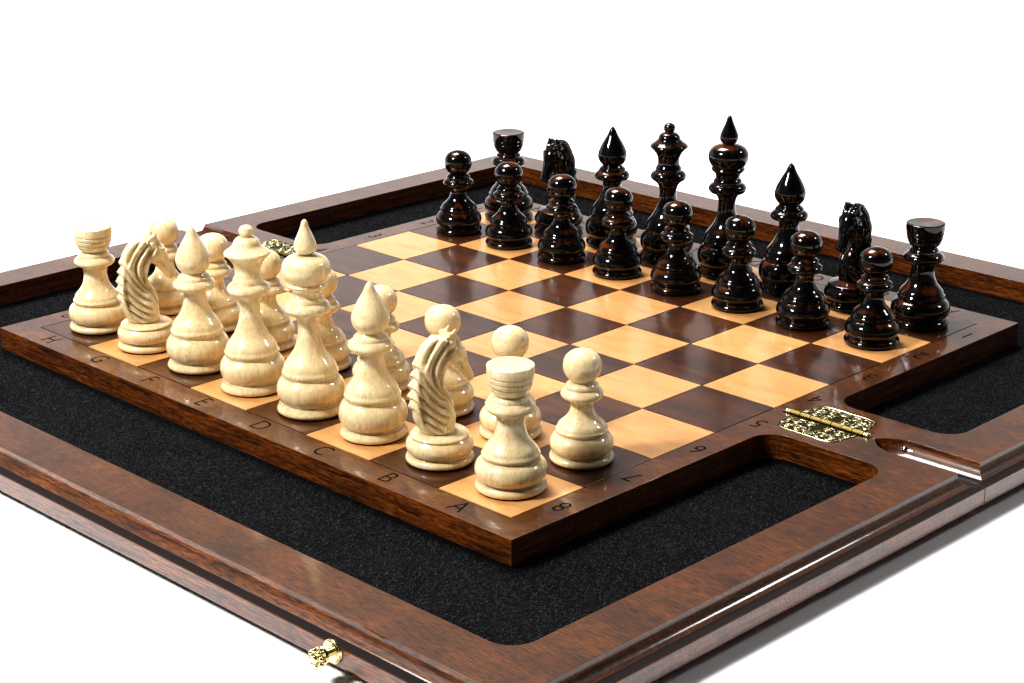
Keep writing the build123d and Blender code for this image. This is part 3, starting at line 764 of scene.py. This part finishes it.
def leaf_relief(side, end):
    """Scrolls, a shell and a beaded edge cast on one hinge leaf."""
    wire = sizes().scroll_wire / MM
    z = sizes().board_top / MM + 0.02
    cx = end * HINGE_X
    parts = []
    for mirror in (-1, 1):
        for x, y, radius, start, turns, hand in (
            (10.2, 6.0, 3.0, 0.2, 1.35, 1), (4.6, 5.4, 2.5, 2.6, 1.3, -1),
            (6.2, 12.0, 2.7, -0.9, 1.3, 1), (11.2, 11.6, 2.0, 1.2, 1.1, -1), (14.6, 6.6, 1.6, 1.4, 1.0, -1),
        ):
            parts += scroll(cx + mirror * x, side * y, radius, start if mirror * side > 0 else math.pi - start,
                            turns, hand * mirror * side, wire, z)
        outward = math.radians(90 * side - 40 * mirror * side)
        parts.append(petal(cx + mirror * 12.9, side * 9.2, outward, 3.6, 0.7, 0.25, z))
        parts.append(petal(cx + mirror * 8.0, side * 8.6, math.radians(90 * side), 2.8, 0.6, 0.25, z))
        for x, y, turn, long in (
            (2.2, 2.6, 60, 3.4), (7.4, 3.0, 20, 3.0), (13.2, 3.0, 60, 3.2), (2.8, 8.2, 120, 3.0), (8.8, 11.0, 10, 2.6),
            (5.2, 9.4, 150, 2.8), (12.8, 13.4, 160, 2.8), (3.4, 14.4, 10, 3.2), (8.6, 14.2, 20, 2.8),
        ):
            way = side * math.radians(turn if mirror > 0 else 180 - turn)
            parts.append(petal(cx + mirror * x, side * y, way, long, 0.42, 0.22, z))
    for k in range(-3, 4):
        way = math.radians(90 * side - 20 * k * side)
        parts.append(petal(cx + 0.1 * k, side * 11.6, way, 4.2 - 0.3 * abs(k), 0.5, 0.3, z))
    edge = [(cx + x, y, z - 0.05) for x, y in leaf_points(side, 0.55)]
    parts.append(tube(edge, wire * 0.95, 6))
    return join_meshes(parts)


def flatten(vertices, lowest, highest):
    """Keeps a relief between the mortise floor and the height that clears the folded leaf."""
    vertices = np.array(vertices)
    vertices[:, 2] = np.clip(vertices[:, 2], lowest, highest)
    return vertices


def knuckle_gap_shade(end):
    """Dark rings in the joints between a hinge's knuckles: painted shade in the gaps."""
    parts, radius = [], 1.46
    pitch = (2 * BARREL_HALF + KNUCKLE_GAP) / KNUCKLES
    for k in range(1, KNUCKLES):
        turn = np.linspace(0, 2 * math.pi, 25)
        x = end * HINGE_X - BARREL_HALF + pitch * k - KNUCKLE_GAP / 2
        parts.append(tube([(x, radius * math.cos(a), AXIS_Z + radius * math.sin(a)) for a in turn], 0.19, 6))
    return join_meshes(parts)


def mortise_gap_shade(side, end):
    """Dark line between a leaf and the wood round it: painted shade in the gap of the mortise."""
    z = sizes().board_top / MM + 0.012
    inner, outer = [[(end * HINGE_X + x, y, z) for x, y in leaf_points(side, inset)] for inset in (0.05, -0.5)]
    count = len(inner)
    return inner + outer, [(k, k + 1, count + k + 1, count + k) for k in range(count - 1)]


class CHESSBOX_OT_hinges(bpy.types.Operator):
    """Cast the brass hinges, with their relief, pins and screws"""

    bl_idname = "chessbox.hinges"
    bl_label = "Hinges"

    def execute(self, context):
        hue = colours()
        ground = cast_brass(
            "brass_cast_aged_ground", linear("#4a4026"), hue.brass_dark, 0.42, patina=(0.3, 0.75),
            rubbed=linear("#6f6136"),
        )
        raised = cast_brass(
            "brass_cast_rubbed_relief", linear("#d8cea0"), hue.brass, 0.2, patina=(0.2, 0.45), dent=0.03
        )
        steel = plated_steel()
        mortise_floor, folded_leaf = 17.6, 18.28
        for half, side in HALVES:
            for name, end in ENDS:
                finish_node(f"{half}_leaf_{name}", ground)
                vertices, faces = leaf_relief(side, end)
                vertices = flatten(vertices, mortise_floor, folded_leaf)
                make_piece(f"{half}_relief_{name}", vertices, faces, raised, half + "_half", "hinge_brass")
            finish_node(half + "_leaf_screws", raised)
        # painted shade: the burnt engraving's dark material is laid as rings in the knuckle gaps and as lines round the
        # leaves
        shade = bpy.data.materials["beech_engraved_burnt"]
        for name, end in ENDS:
            finish_node("hinge_pin_" + name, raised)
            make_piece("hinge_knuckle_shade_" + name, *knuckle_gap_shade(end), shade, "near_half", "hinge_brass")
        for half, side in HALVES:
            vertices, faces = join_meshes([mortise_gap_shade(side, end) for _, end in ENDS])
            make_piece(half + "_mortise_gap_shade", vertices, faces, shade, half + "_half", "board_wood", smooth=False)
        finish_node("cove_pins", steel)
        return {"FINISHED"}


def knob_crown(x, side):
    """Lobes cut round the outer end of a latch knob, with a small boss in their middle."""
    parts = []
    for k in range(8):
        turn = 2 * math.pi * (k + 0.3) / 8
        away = 2.75
        y = side * (EDGE_Y + KNOB_LENGTH * 0.80)
        centre = (x + away * math.cos(turn), y, LATCH_Z + away * math.sin(turn))
        parts.append(lump(*centre, 0.95, 1.15, 0.95, 8, 12))
    parts.append(lump(x, side * (EDGE_Y + KNOB_LENGTH * 0.93), LATCH_Z, 1.5, 0.55, 1.5, 8, 16))
    return parts


def rose_ring(x, side):
    """Turned bead round a latch rose, in the plane of the rim's edge."""
    turn = np.linspace(0, 2 * math.pi, 49)
    radius = 4.15
    path = [(x + radius * math.cos(a), side * (EDGE_Y + 0.7), LATCH_Z + radius * math.sin(a)) for a in turn]
    return tube(path, 0.22, 8)


class CHESSBOX_OT_latches(bpy.types.Operator):
    """Finish the latch knobs of the near half, and the hooks and studs of the far half"""

    bl_idname = "chessbox.latches"
    bl_label = "Latches"

    def execute(self, context):
        brass = cast_brass(
            "brass_turned_rubbed", linear("#d8cda0"), linear("#8a7b4c"), 0.12, patina=(0.15, 0.4), dent=0.012
        )
        for node in (
            "latch_knob_left", "latch_knob_right", "hook_left", "hook_right", "knob_roses", "hook_roses", "hook_studs",
        ):
            finish_node(node, brass)
        for half, side in HALVES:
            parts = []
            for x in (-LATCH_X, LATCH_X):
                parts.append(rose_ring(x, side))
                if side < 0:
                    parts += knob_crown(x, side)
            vertices, faces = join_meshes(parts)
            make_piece(half + "_latch_ornament", vertices, faces, brass, half + "_half", "latch_brass")
        return {"FINISHED"}


# ---------------------------------------------------------------- turned men


def foot_runs(foot, bulb, low, mid, top, neck):
    """Foot bead, groove and round belly of any man, as runs of (radius, height), each going on from the last."""
    groove, rise = foot - 2.0, top - mid
    return [
        [(foot - 0.7, 0), (foot - 0.02, 0.75), (foot, 1.5), (foot - 0.35, 2.2), (foot - 1.1, low)],
        [(groove + 0.1, low + 0.3), (groove, low + 0.7)],
        [(bulb - 0.6, low + 0.42 * (mid - low)), (bulb, mid), (bulb - 0.35, mid + 0.38 * rise),
         (bulb - 1.2, mid + 0.72 * rise), (neck - 0.1, top)],
    ]


PAWN = foot_runs(13.0, 12.9, 2.8, 7.2, 11.2, 10.6) + [
    [(10.0, 11.6), (10.1, 12.0)],
    [(10.5, 12.5), (10.5, 13.1), (10.0, 13.6)],
    [(9.7, 14.5), (8.6, 15.8), (7.0, 17.2), (5.6, 19.0), (4.7, 21.3), (4.5, 23.4), (5.0, 25.2)],
    [(7.9, 26.3)],
    [(8.6, 27.6), (8.0, 28.9), (6.4, 30.0)],
    [(6.6, 31.2), (5.6, 32.4)],
    [(4.7, 33.1)],
    [(6.9, 35.9), (7.7, 39.4), (6.6, 43.2), (3.6, 45.5), (0.3, 46.1)],
]
ROOK = foot_runs(14.0, 14.1, 3.0, 8.0, 12.2, 11.5) + [
    [(10.8, 12.6), (10.9, 13.1)],
    [(11.4, 13.6), (11.4, 14.4), (10.8, 15.0)],
    [(10.4, 16.3), (9.2, 17.9), (7.5, 20.0), (6.3, 22.5), (5.7, 25.2), (5.5, 27.6), (6.0, 30.0)],
    [(8.8, 31.6)],
    [(9.7, 33.0), (9.0, 34.4), (6.9, 35.7)],
    [(6.9, 36.9), (5.5, 38.0)],
    [(7.0, 39.4), (7.95, 41.1)],
    [(7.7, 41.5), (8.25, 41.9)],
    [(8.65, 43.3)],
    [(8.35, 43.7), (8.8, 44.1)],
    [(9.0, 45.4)],
    [(8.7, 45.8), (9.1, 46.2)],
    [(9.25, 48.2), (9.2, 49.8)],
    [(8.6, 50.1)],
    [(0.3, 49.9)],
]
BISHOP = foot_runs(14.1, 14.3, 3.5, 9.8, 14.9, 12.0) + [
    [(11.2, 15.4), (11.3, 16.0)],
    [(11.8, 16.8), (11.8, 17.9), (11.2, 18.7)],
    [(10.8, 20.2), (9.8, 21.9), (8.2, 24.0), (6.7, 26.8), (5.6, 30.0), (5.0, 33.2), (5.2, 35.2), (6.1, 36.2)],
    [(8.8, 37.0)],
    [(9.6, 38.5), (8.9, 40.1), (7.3, 41.2)],
    [(7.2, 42.2), (6.0, 43.3)],
    [(5.2, 44.4)],
    [(7.2, 47.0), (7.9, 50.0), (6.5, 54.6), (4.4, 58.4), (2.5, 61.8), (1.3, 64.4), (0.3, 65.5)],
]
QUEEN = foot_runs(14.5, 14.3, 3.7, 9.9, 14.4, 12.2) + [
    [(11.4, 14.9), (11.5, 15.5)],
    [(12.0, 16.3), (12.0, 17.3), (11.4, 18.1)],
    [(11.1, 19.6), (10.0, 21.4), (8.2, 23.8), (6.6, 26.8), (5.3, 30.4), (4.6, 34.0), (4.5, 37.0), (5.2, 40.0),
     (6.6, 42.0)],
    [(8.8, 43.5)],
    [(9.5, 45.1), (8.8, 46.8), (6.9, 48.0)],
    [(6.7, 49.8), (5.9, 51.0)],
    [(5.7, 53.4), (6.7, 57.2), (9.2, 60.2)],
    [(10.1, 61.1), (9.6, 62.0)],
    [(7.4, 63.6), (6.0, 64.9)],
    [(5.5, 66.6), (4.2, 68.0), (2.2, 68.7)],
    [(3.1, 70.6), (2.4, 72.8), (0.3, 73.7)],
]
KING = foot_runs(14.7, 14.5, 3.7, 10.2, 15.0, 12.2) + [
    [(11.4, 15.5), (11.5, 16.1)],
    [(12.0, 16.9), (12.0, 18.0), (11.4, 18.9)],
    [(11.1, 20.4), (10.1, 22.2), (8.4, 24.4), (6.7, 27.0), (5.5, 30.0), (4.7, 33.7), (4.5, 37.5), (4.9, 40.6),
     (5.9, 42.2)],
    [(8.8, 43.6)],
    [(9.8, 45.3), (9.1, 47.2), (7.3, 48.4)],
    [(7.2, 49.8), (6.2, 50.9)],
    [(6.5, 53.2), (8.2, 54.9)],
    [(8.7, 55.8), (8.0, 56.8)],
    [(9.9, 59.8), (10.4, 62.8), (8.8, 66.5), (5.4, 68.3), (2.7, 68.8)],
    [(4.2, 70.2), (4.8, 72.2), (3.9, 75.6), (2.5, 78.8), (1.5, 81.6), (1.1, 83.0), (0.3, 83.7)],
]
KNIGHT_FOOT = foot_runs(13.8, 13.6, 2.9, 7.0, 10.4, 11.6) + [
    [(11.9, 11.0), (11.2, 11.7)],
    [(9.4, 12.0), (6.6, 12.9), (0.3, 13.4)],
]


def turned(runs, x, y, turn, sides=72):
    """A turned man standing on its felt disc: each run is one sweep of the gouge, with a crease where runs meet."""
    foot, step = sizes().board_top / MM + DISC_THICK, 0.75
    profile, start = [], []
    for run in runs:
        run = start + run
        length = sum(math.dist(a, b) for a, b in zip(run, run[1:]))
        curve = smooth_curve(run, max(3, int(length / step) + 2)).tolist()
        profile += curve[:-1]
        start = run[-1:]
    profile.append(curve[-1])
    angles = turn + np.linspace(0, 2 * math.pi, sides, endpoint=False)
    rings = np.array([[(x + r * math.cos(a), y + r * math.sin(a), foot + z) for a in angles] for r, z in profile])
    return ring_mesh(rings)


def places(files, side, rank):
    """Board places of the men, A on the +X side."""
    return [((3.5 - index) * sizes().square / MM, side * rank) for index in files]


class CHESSBOX_OT_turned_men(bpy.types.Operator):
    """Turn the pawns, rooks, bishops, queens and kings of both colours"""

    bl_idname = "chessbox.turned_men"
    bl_label = "Turned men"

    def execute(self, context):
        woods = {"light": lacquered_hornbeam(), "dark": ebonised_hornbeam()}
        for colour, side in MEN:
            chance = random.Random(31 + side)
            for kind, runs, files, rank in (
                ("rooks", ROOK, (0, 7), BACK_RANK), ("bishops", BISHOP, (2, 5), BACK_RANK),
                ("king", KING, (3,), BACK_RANK), ("queen", QUEEN, (4,), BACK_RANK),
                ("pawns", PAWN, range(8), PAWN_RANK),
            ):
                parts = [turned(runs, x, y, chance.uniform(0, 6)) for x, y in places(files, side, rank)]
                vertices, faces = join_meshes(parts)
                man = make_piece(
                    f"{colour}_{kind}_turned", vertices, faces, woods[colour], colour + "_men", colour + "_men",
                    sharp_degrees=38,
                )
                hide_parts(f"{colour}_{kind}")
        return {"FINISHED"}


# ------------------------------------------------------------------- knights


def carved_bar(stations, sides=28):
    """A closed form along stations (forward, height, half depth in the side view, half width)."""
    stations = np.asarray(stations, float)
    line = smooth_curve(stations, 6 * len(stations))
    centre, depth, width = line[:, :2], line[:, 2], line[:, 3]
    forward = np.gradient(centre, axis=0)
    forward /= np.linalg.norm(forward, axis=1)[:, None]
    across = np.stack([-forward[:, 1], forward[:, 0]], 1)
    turn = np.linspace(0, 2 * math.pi, sides, endpoint=False)
    rings = np.zeros((len(line), sides, 3))
    rings[:, :, 0] = centre[:, None, 0] + depth[:, None] * np.cos(turn) * across[:, None, 0]
    rings[:, :, 2] = centre[:, None, 1] + depth[:, None] * np.cos(turn) * across[:, None, 1]
    rings[:, :, 1] = width[:, None] * np.sin(turn)
    return ring_mesh(rings)


def lump(x, y, z, rx, ry, rz, rows=12, sides=20):
    """A rounded lump of the carving."""
    rings = []
    for k in range(rows + 1):
        a = math.pi * (0.04 + 0.92 * k / rows)
        rings.append([
            (x + rx * math.sin(a) * math.cos(t), y + ry * math.sin(a) * math.sin(t), z + rz * math.cos(a))
            for t in np.linspace(0, 2 * math.pi, sides, endpoint=False)
        ])
    return ring_mesh(np.array(rings))


def near_line(points, line):
    """Distance from points to a line in the side view, signed by side, and how far along it the nearest place is."""
    best = np.full(len(points), 1e9)
    where, hand = np.zeros(len(points)), np.ones(len(points))
    for k in range(len(line) - 1):
        a, b = line[k], line[k + 1]
        ab = b - a
        f = np.clip(((points - a) @ ab) / (ab @ ab), 0, 1)
        off = points - (a + f[:, None] * ab)
        d = np.linalg.norm(off, axis=1)
        nearer = d < best
        best[nearer] = d[nearer]
        where[nearer] = (k + f[nearer]) / (len(line) - 1)
        hand[nearer] = np.sign(ab[0] * off[:, 1] - ab[1] * off[:, 0])[nearer]
    return best * hand, where


MANE_CUTS = [
    [(-15.0, 45.5), (-10.5, 40.0), (-7.0, 34.0), (-3.2, 29.0), (1.0, 25.6)],
    [(-16.0, 41.0), (-11.4, 35.6), (-7.6, 30.0), (-3.4, 25.4), (1.6, 22.2)],
    [(-17.0, 36.4), (-12.2, 31.2), (-8.4, 26.2), (-4.2, 22.0), (1.2, 19.2)],
    [(-17.0, 31.6), (-12.6, 27.0), (-9.0, 22.6), (-5.0, 19.0), (-0.2, 16.6)],
    [(-17.0, 27.0), (-12.6, 22.8), (-9.2, 19.0), (-5.6, 16.0), (-2.0, 14.2)],
    [(3.2, 36.0), (2.0, 32.0), (2.4, 27.7), (4.4, 23.7), (5.0, 18.7)],
    [(5.0, 51.0), (-2.6, 44.9), (-5.4, 39.4), (-3.8, 33.0), (0.8, 27.4), (2.2, 25.0)],
    [(1.0, 53.0), (-6.4, 45.9), (-9.0, 40.6)],
    [(6.0, 48.4), (0.6, 42.4), (-1.6, 36.2), (0.6, 29.7), (3.6, 25.6)],
]
LOCK_CUTS = [
    [(5.4, 49.8), (-1.0, 43.8), (-3.6, 37.6), (-1.6, 31.0), (2.2, 26.6)],
    [(3.0, 52.0), (-4.4, 45.5), (-7.4, 40.0), (-6.8, 36.0)],
    [(-15.5, 43.2), (-11.0, 37.8), (-7.4, 32.0), (-3.4, 27.2), (1.4, 24.0)],
    [(-16.5, 38.8), (-11.9, 33.4), (-8.0, 28.1), (-3.8, 23.7), (1.6, 20.6)],
    [(-17.0, 34.0), (-12.4, 29.1), (-8.7, 24.4), (-4.6, 20.4), (0.4, 17.8)],
    [(-17.0, 29.3), (-12.6, 24.9), (-9.1, 20.8), (-5.3, 17.4), (-1.0, 15.3)],
]
CHEST_CUTS = [
    [(4.6, 26.0), (6.2, 22.8), (6.6, 19.4), (5.6, 16.8)],
]
FACE_CUTS = [
    [(12.0, 30.6), (13.2, 32.0), (14.4, 32.4)],
    [(9.6, 36.2), (8.6, 38.6), (6.4, 39.8), (4.2, 39.2)],
    [(12.6, 38.4), (11.0, 40.8), (9.4, 42.0)],
]


def horse_head():
    """The carved horse of a knight facing +X, as vertices and faces in millimetres above the foot."""
    neck = [
        (0.2, 11.8, 6.2, 6.0), (-0.6, 14.5, 7.4, 6.3), (-1.8, 18.5, 9.0, 6.7), (-2.6, 22.0, 9.0, 6.5),
        (-4.4, 27.0, 8.0, 5.7), (-4.9, 32.0, 7.3, 5.4), (-4.5, 38.0, 7.2, 5.1), (-2.4, 43.0, 6.9, 4.9),
        (0.2, 46.6, 5.8, 4.5), (3.6, 48.0, 3.4, 3.2),
    ]
    head = [
        (0.6, 47.0, 4.0, 3.6), (4.2, 46.2, 5.0, 4.3), (7.2, 43.6, 4.9, 4.4), (9.4, 40.0, 3.9, 3.6),
        (11.4, 36.4, 2.9, 2.8), (13.2, 33.4, 2.5, 2.6), (14.3, 31.4, 2.0, 2.2), (14.9, 30.3, 0.8, 1.0),
    ]
    mane = [
        (2.0, 50.0, 1.2, 4.4), (-2.4, 50.2, 1.6, 3.2), (-6.0, 47.0, 2.0, 3.0), (-8.9, 41.2, 2.0, 3.2),
        (-10.6, 34.6, 2.0, 3.6), (-11.2, 28.6, 2.1, 4.0), (-10.6, 22.4, 2.2, 4.2), (-8.0, 16.2, 2.0, 4.2),
    ]
    parts = [carved_bar(stations) for stations in (neck, head, mane)]
    for hand in (-1, 1):
        parts.append(lump(5.6, hand * 1.6, 43.2, 4.2, 3.4, 3.9))
        parts.append(lump(8.3, hand * 3.3, 44.9, 1.5, 1.2, 1.15))
        parts.append(lump(8.0, hand * 3.0, 46.4, 2.3, 1.4, 0.8))
        parts.append(lump(13.9, hand * 1.7, 32.2, 1.2, 1.0, 1.3))
        ear = [(3.6, 48.6, 1.5, 1.3), (4.8, 50.9, 1.5, 1.2), (6.0, 52.8, 0.95, 0.8), (6.9, 54.2, 0.25, 0.25)]
        vertices, faces = carved_bar(ear, 14)
        vertices[:, 1] += hand * 2.2
        parts.append((vertices, faces))
        for lift, out, low in ((0.0, 1.2, 45.5), (0.6, 2.3, 43.8)):
            lock = [(3.0, 51.4 + lift), (6.6, 50.4 + lift * 0.4), (8.2, 47.8), (8.8, low)]
            steps = 14
            curve = smooth_curve(lock, steps)
            radii = np.interp(np.linspace(0, 1, steps), (0, 0.4, 1), (1.1, 1.0, 0.25))
            parts.append(tube(np.stack([curve[:, 0], np.full(steps, hand * out), curve[:, 1]], 1), radii, 10))
    return join_meshes(parts)


def carve(vertices, normals):
    """Cuts the mane, chest and face lines into the smooth horse: steep on one side, so that the locks overlap."""
    side_view = vertices[:, [0, 2]]
    sideways = np.clip(np.abs(normals[:, 1]) * 1.5 + np.clip(-normals[:, 0], 0, 1) * 0.45, 0, 1)
    push = np.zeros(len(vertices))
    for cuts, steep, gentle, deep in (
        (MANE_CUTS, 0.5, 1.5, 2.0), (LOCK_CUTS, 0.35, 0.6, 0.9),
        (CHEST_CUTS, 0.5, 1.2, 1.3), (FACE_CUTS, 0.4, 0.7, 0.8),
    ):
        for cut in cuts:
            distance, where = near_line(side_view, smooth_curve(cut, 26))
            fade = np.clip(np.sin(np.pi * np.clip(where, 0.03, 0.97)) * 2.0, 0, 1)
            wide = np.where(distance > 0, steep, gentle)
            push = np.minimum(push, -deep * fade * np.exp(-((np.abs(distance) / wide) ** 1.4)))
    push += 0.5 * (mane_cover(side_view) < 1) * sideways
    return vertices + normals * (push * sideways)[:, None]


def mane_cover(side_view):
    """Where the mane covers the neck, as a number under 1 inside it."""
    line = smooth_curve([(-1.0, 49.0), (-6.4, 43.0), (-8.4, 35.0), (-6.4, 27.0), (-3.0, 20.0)], 20)
    half_wide = 7.0
    return np.abs(near_line(side_view, line)[0]) / half_wide


def knight_mesh():
    """The horse remeshed to one skin, smoothed, carved and widened, to stand on a turned foot."""
    vertices, faces = horse_head()
    mesh = bpy.data.meshes.new("horse")
    mesh.from_pydata(vertices.tolist(), [], faces)
    holder = add_object("horse", mesh)
    skin = holder.modifiers.new("skin", "REMESH")
    skin.mode = "VOXEL"
    skin.voxel_size = sizes().knight_grain / MM * 0.9
    skin.adaptivity = 0.0
    soft = holder.modifiers.new("soft", "SMOOTH")
    soft.factor = 0.5
    soft.iterations = 5
    result = evaluated_mesh(holder)
    points = np.array([v.co[:] for v in result.vertices])
    normals = np.array([n.vector[:] for n in result.vertex_normals])
    faces = [tuple(p.vertices) for p in result.polygons]
    bpy.data.meshes.remove(result)
    widened = (1.0, 1.14, 1.0)
    return carve(points, normals) * widened, faces


class CHESSBOX_OT_knights(bpy.types.Operator):
    """Carve the four knights and set them on their turned feet"""

    bl_idname = "chessbox.knights"
    bl_label = "Knights"

    def execute(self, context):
        points, faces = knight_mesh()
        foot = sizes().board_top / MM + DISC_THICK
        woods = {"light": "hornbeam_turned_clear_lacquer", "dark": "hornbeam_ebonised_gloss_lacquer"}
        for colour, side in MEN:
            wood = bpy.data.materials[woods[colour]]
            spin = np.array(Matrix.Rotation(math.radians(-side * 80), 3, "Z"))
            parts = []
            for x, y in places((1, 6), side, BACK_RANK):
                parts.append((points @ spin.T + (x, y, foot), faces))
                parts.append(turned(KNIGHT_FOOT, x, y, 1.0))
            vertices, all_faces = join_meshes(parts)
            man = make_piece(
                colour + "_knights_carved", vertices, all_faces, wood, colour + "_men", colour + "_men",
                sharp_degrees=50,
            )
            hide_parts(colour + "_knights")
        return {"FINISHED"}


# --------------------------------------------------------------- felt discs


class CHESSBOX_OT_discs(bpy.types.Operator):
    """Cut and glue the thin felt discs under the men"""

    bl_idname = "chessbox.discs"
    bl_label = "Felt discs"

    def execute(self, context):
        felt = disc_felt()
        top = sizes().board_top / MM
        foot_radii = (14.0, 13.8, 14.1, 14.7, 14.5, 14.1, 13.8, 14.0)
        inset_from_foot, pawn_disc = 0.9, 12.1
        turn = np.linspace(0, 2 * math.pi, 48, endpoint=False)
        for (colour, side), (half, _) in zip(MEN, HALVES):
            parts, area = [], 0.0
            for index in range(8):
                for rank, radius in ((BACK_RANK, foot_radii[index] - inset_from_foot), (PAWN_RANK, pawn_disc)):
                    x, y = places((index,), side, rank)[0]
                    rings = []
                    for inset, lift in ((0.12, 0.0), (0.0, 0.15), (0.0, 0.45), (0.1, DISC_THICK)):
                        r = radius - inset
                        rings.append([(x + r * math.cos(a), y + r * math.sin(a), top + lift) for a in turn])
                    parts.append(ring_mesh(np.array(rings)))
                    area += math.pi * radius**2
            vertices, faces = join_meshes(parts)
            discs = make_piece(
                colour + "_discs_cut", vertices, faces, felt, colour + "_men", "disc_felt", sharp_degrees=50
            )
            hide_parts(colour + "_felt_discs")
        return {"FINISHED"}


# ------------------------------------------------------------------- studio


def softbox(name, place, aim, width, height, power):
    """A square soft light of the studio."""
    lamp = bpy.data.lights.new(name, "AREA")
    lamp.shape = "RECTANGLE"
    lamp.size, lamp.size_y = width, height
    lamp.energy = power
    holder = add_object(name, lamp)
    holder.location = place
    holder.rotation_euler = (Vector(aim) - Vector(place)).to_track_quat("-Z", "Y").to_euler()


class CHESSBOX_OT_studio(bpy.types.Operator):
    """Set the pale floor, the soft lights, the pale surroundings and the camera"""

    bl_idname = "chessbox.studio"
    bl_label = "Studio"

    def execute(self, context):
        scene = context.scene
        scene.view_settings.view_transform = "Standard"
        scene.view_settings.look = "Medium High Contrast"
        paper, tree = new_material("paper_backdrop_white")
        shader = add_node(
            tree, "ShaderNodeBsdfPrincipled", Base_Color=linear("#f6f6f6"), Roughness=0.9, Specular_IOR_Level=0.1
        )
        close_material(tree, shader)
        mesh = bpy.data.meshes.new("floor")
        reach = 12.0
        corners = [(-reach, -reach, 0), (reach, -reach, 0), (reach, reach, 0), (-reach, reach, 0)]
        mesh.from_pydata(corners, [], [(0, 1, 2, 3)])
        mesh.materials.append(paper)
        add_object("floor", mesh)

        world = bpy.data.worlds.new("white_room")
        world.use_nodes = True
        scene.world = world
        tree = world.node_tree
        tree.nodes.clear()
        way = add_node(tree, "ShaderNodeTexCoord").outputs["Generated"]
        behind = add_node(
            tree, "ShaderNodeVectorMath", {"operation": "DOT_PRODUCT"}, in_0=way, in_1=(-0.707, 0.707, 0.0)
        ).outputs["Value"]
        height = add_node(tree, "ShaderNodeSeparateXYZ", Vector=way).outputs["Z"]
        low = add_node(tree, "ShaderNodeMapRange", Value=height, in_1=0.28, in_2=0.385, in_3=0.85, in_4=0.15)
        glow = add_node(tree, "ShaderNodeMapRange", Value=behind, in_1=0.0, in_2=0.6, in_3=0.1, in_4=1.0)
        glow = add_node(tree, "ShaderNodeMath", {"operation": "MULTIPLY"}, in_0=glow, in_1=low)
        seen = add_node(tree, "ShaderNodeLightPath").outputs["Is Camera Ray"]
        strength = add_node(tree, "ShaderNodeMath", {"operation": "MAXIMUM"}, in_0=glow, in_1=seen)
        backdrop = add_node(tree, "ShaderNodeBackground", Color=(1, 1, 1), Strength=strength)
        add_node(tree, "ShaderNodeOutputWorld", Surface=backdrop)

        middle = (0, 0, 0.03)
        softbox("soft_right", (0.72, 1.05, 1.05), middle, 0.2, 0.2, 4)
        softbox("soft_left", (-0.30, -0.95, 1.05), middle, 0.24, 0.24, 27)
        softbox("soft_top", (-0.9, 0.3, 2.0), middle, 0.9, 0.9, 60)

        camera = bpy.data.cameras.new("camera")
        camera.sensor_width = 36.0
        camera.lens = 67.54
        camera.clip_start = 0.01
        holder = add_object("camera", camera)
        right, up, back = (0.7098, 0.7044, -0.0036), (-0.2259, 0.2324, 0.9460), (0.6672, -0.6706, 0.3241)
        spot = (0.6220, -0.6236, 0.3115)
        holder.matrix_world = Matrix([[right[i], up[i], back[i], spot[i]] for i in range(3)] + [[0, 0, 0, 1]])
        scene.camera = holder
        return {"FINISHED"}


class CHESSBOX_PT_panel(bpy.types.Panel):
    """Sizes, colours and pieces of the chess box"""

    bl_label = "Chess box"
    bl_idname = "CHESSBOX_PT_panel"
    bl_space_type = "VIEW_3D"
    bl_region_type = "UI"
    bl_category = "Chess box"

    def draw(self, context):
        for group in (context.scene.chess_box_sizes, context.scene.chess_box_colours):
            column = self.layout.column()
            for name in group.__annotations__:
                column.prop(group, name)
        for operator in OPERATORS:
            self.layout.operator(operator.bl_idname)


OPERATORS = (
    CHESSBOX_OT_studio,
    CHESSBOX_OT_boards,
    CHESSBOX_OT_linings,
    CHESSBOX_OT_engraving,
    CHESSBOX_OT_hinges,
    CHESSBOX_OT_latches,
    CHESSBOX_OT_turned_men,
    CHESSBOX_OT_knights,
    CHESSBOX_OT_discs,
)
CLASSES = (ChessBoxSizes, ChessBoxColours, CHESSBOX_PT_panel) + OPERATORS


def register():
    for each in CLASSES:
        bpy.utils.register_class(each)
    bpy.types.Scene.chess_box_sizes = bpy.props.PointerProperty(type=ChessBoxSizes)
    bpy.types.Scene.chess_box_colours = bpy.props.PointerProperty(type=ChessBoxColours)


def unregister():
    del bpy.types.Scene.chess_box_colours
    del bpy.types.Scene.chess_box_sizes
    for each in reversed(CLASSES):
        bpy.utils.unregister_class(each)


def main():
    register()
    for operator in OPERATORS:
        group, name = operator.bl_idname.split(".")
        getattr(getattr(bpy.ops, group), name)()


if __name__ == "__main__":
    main()
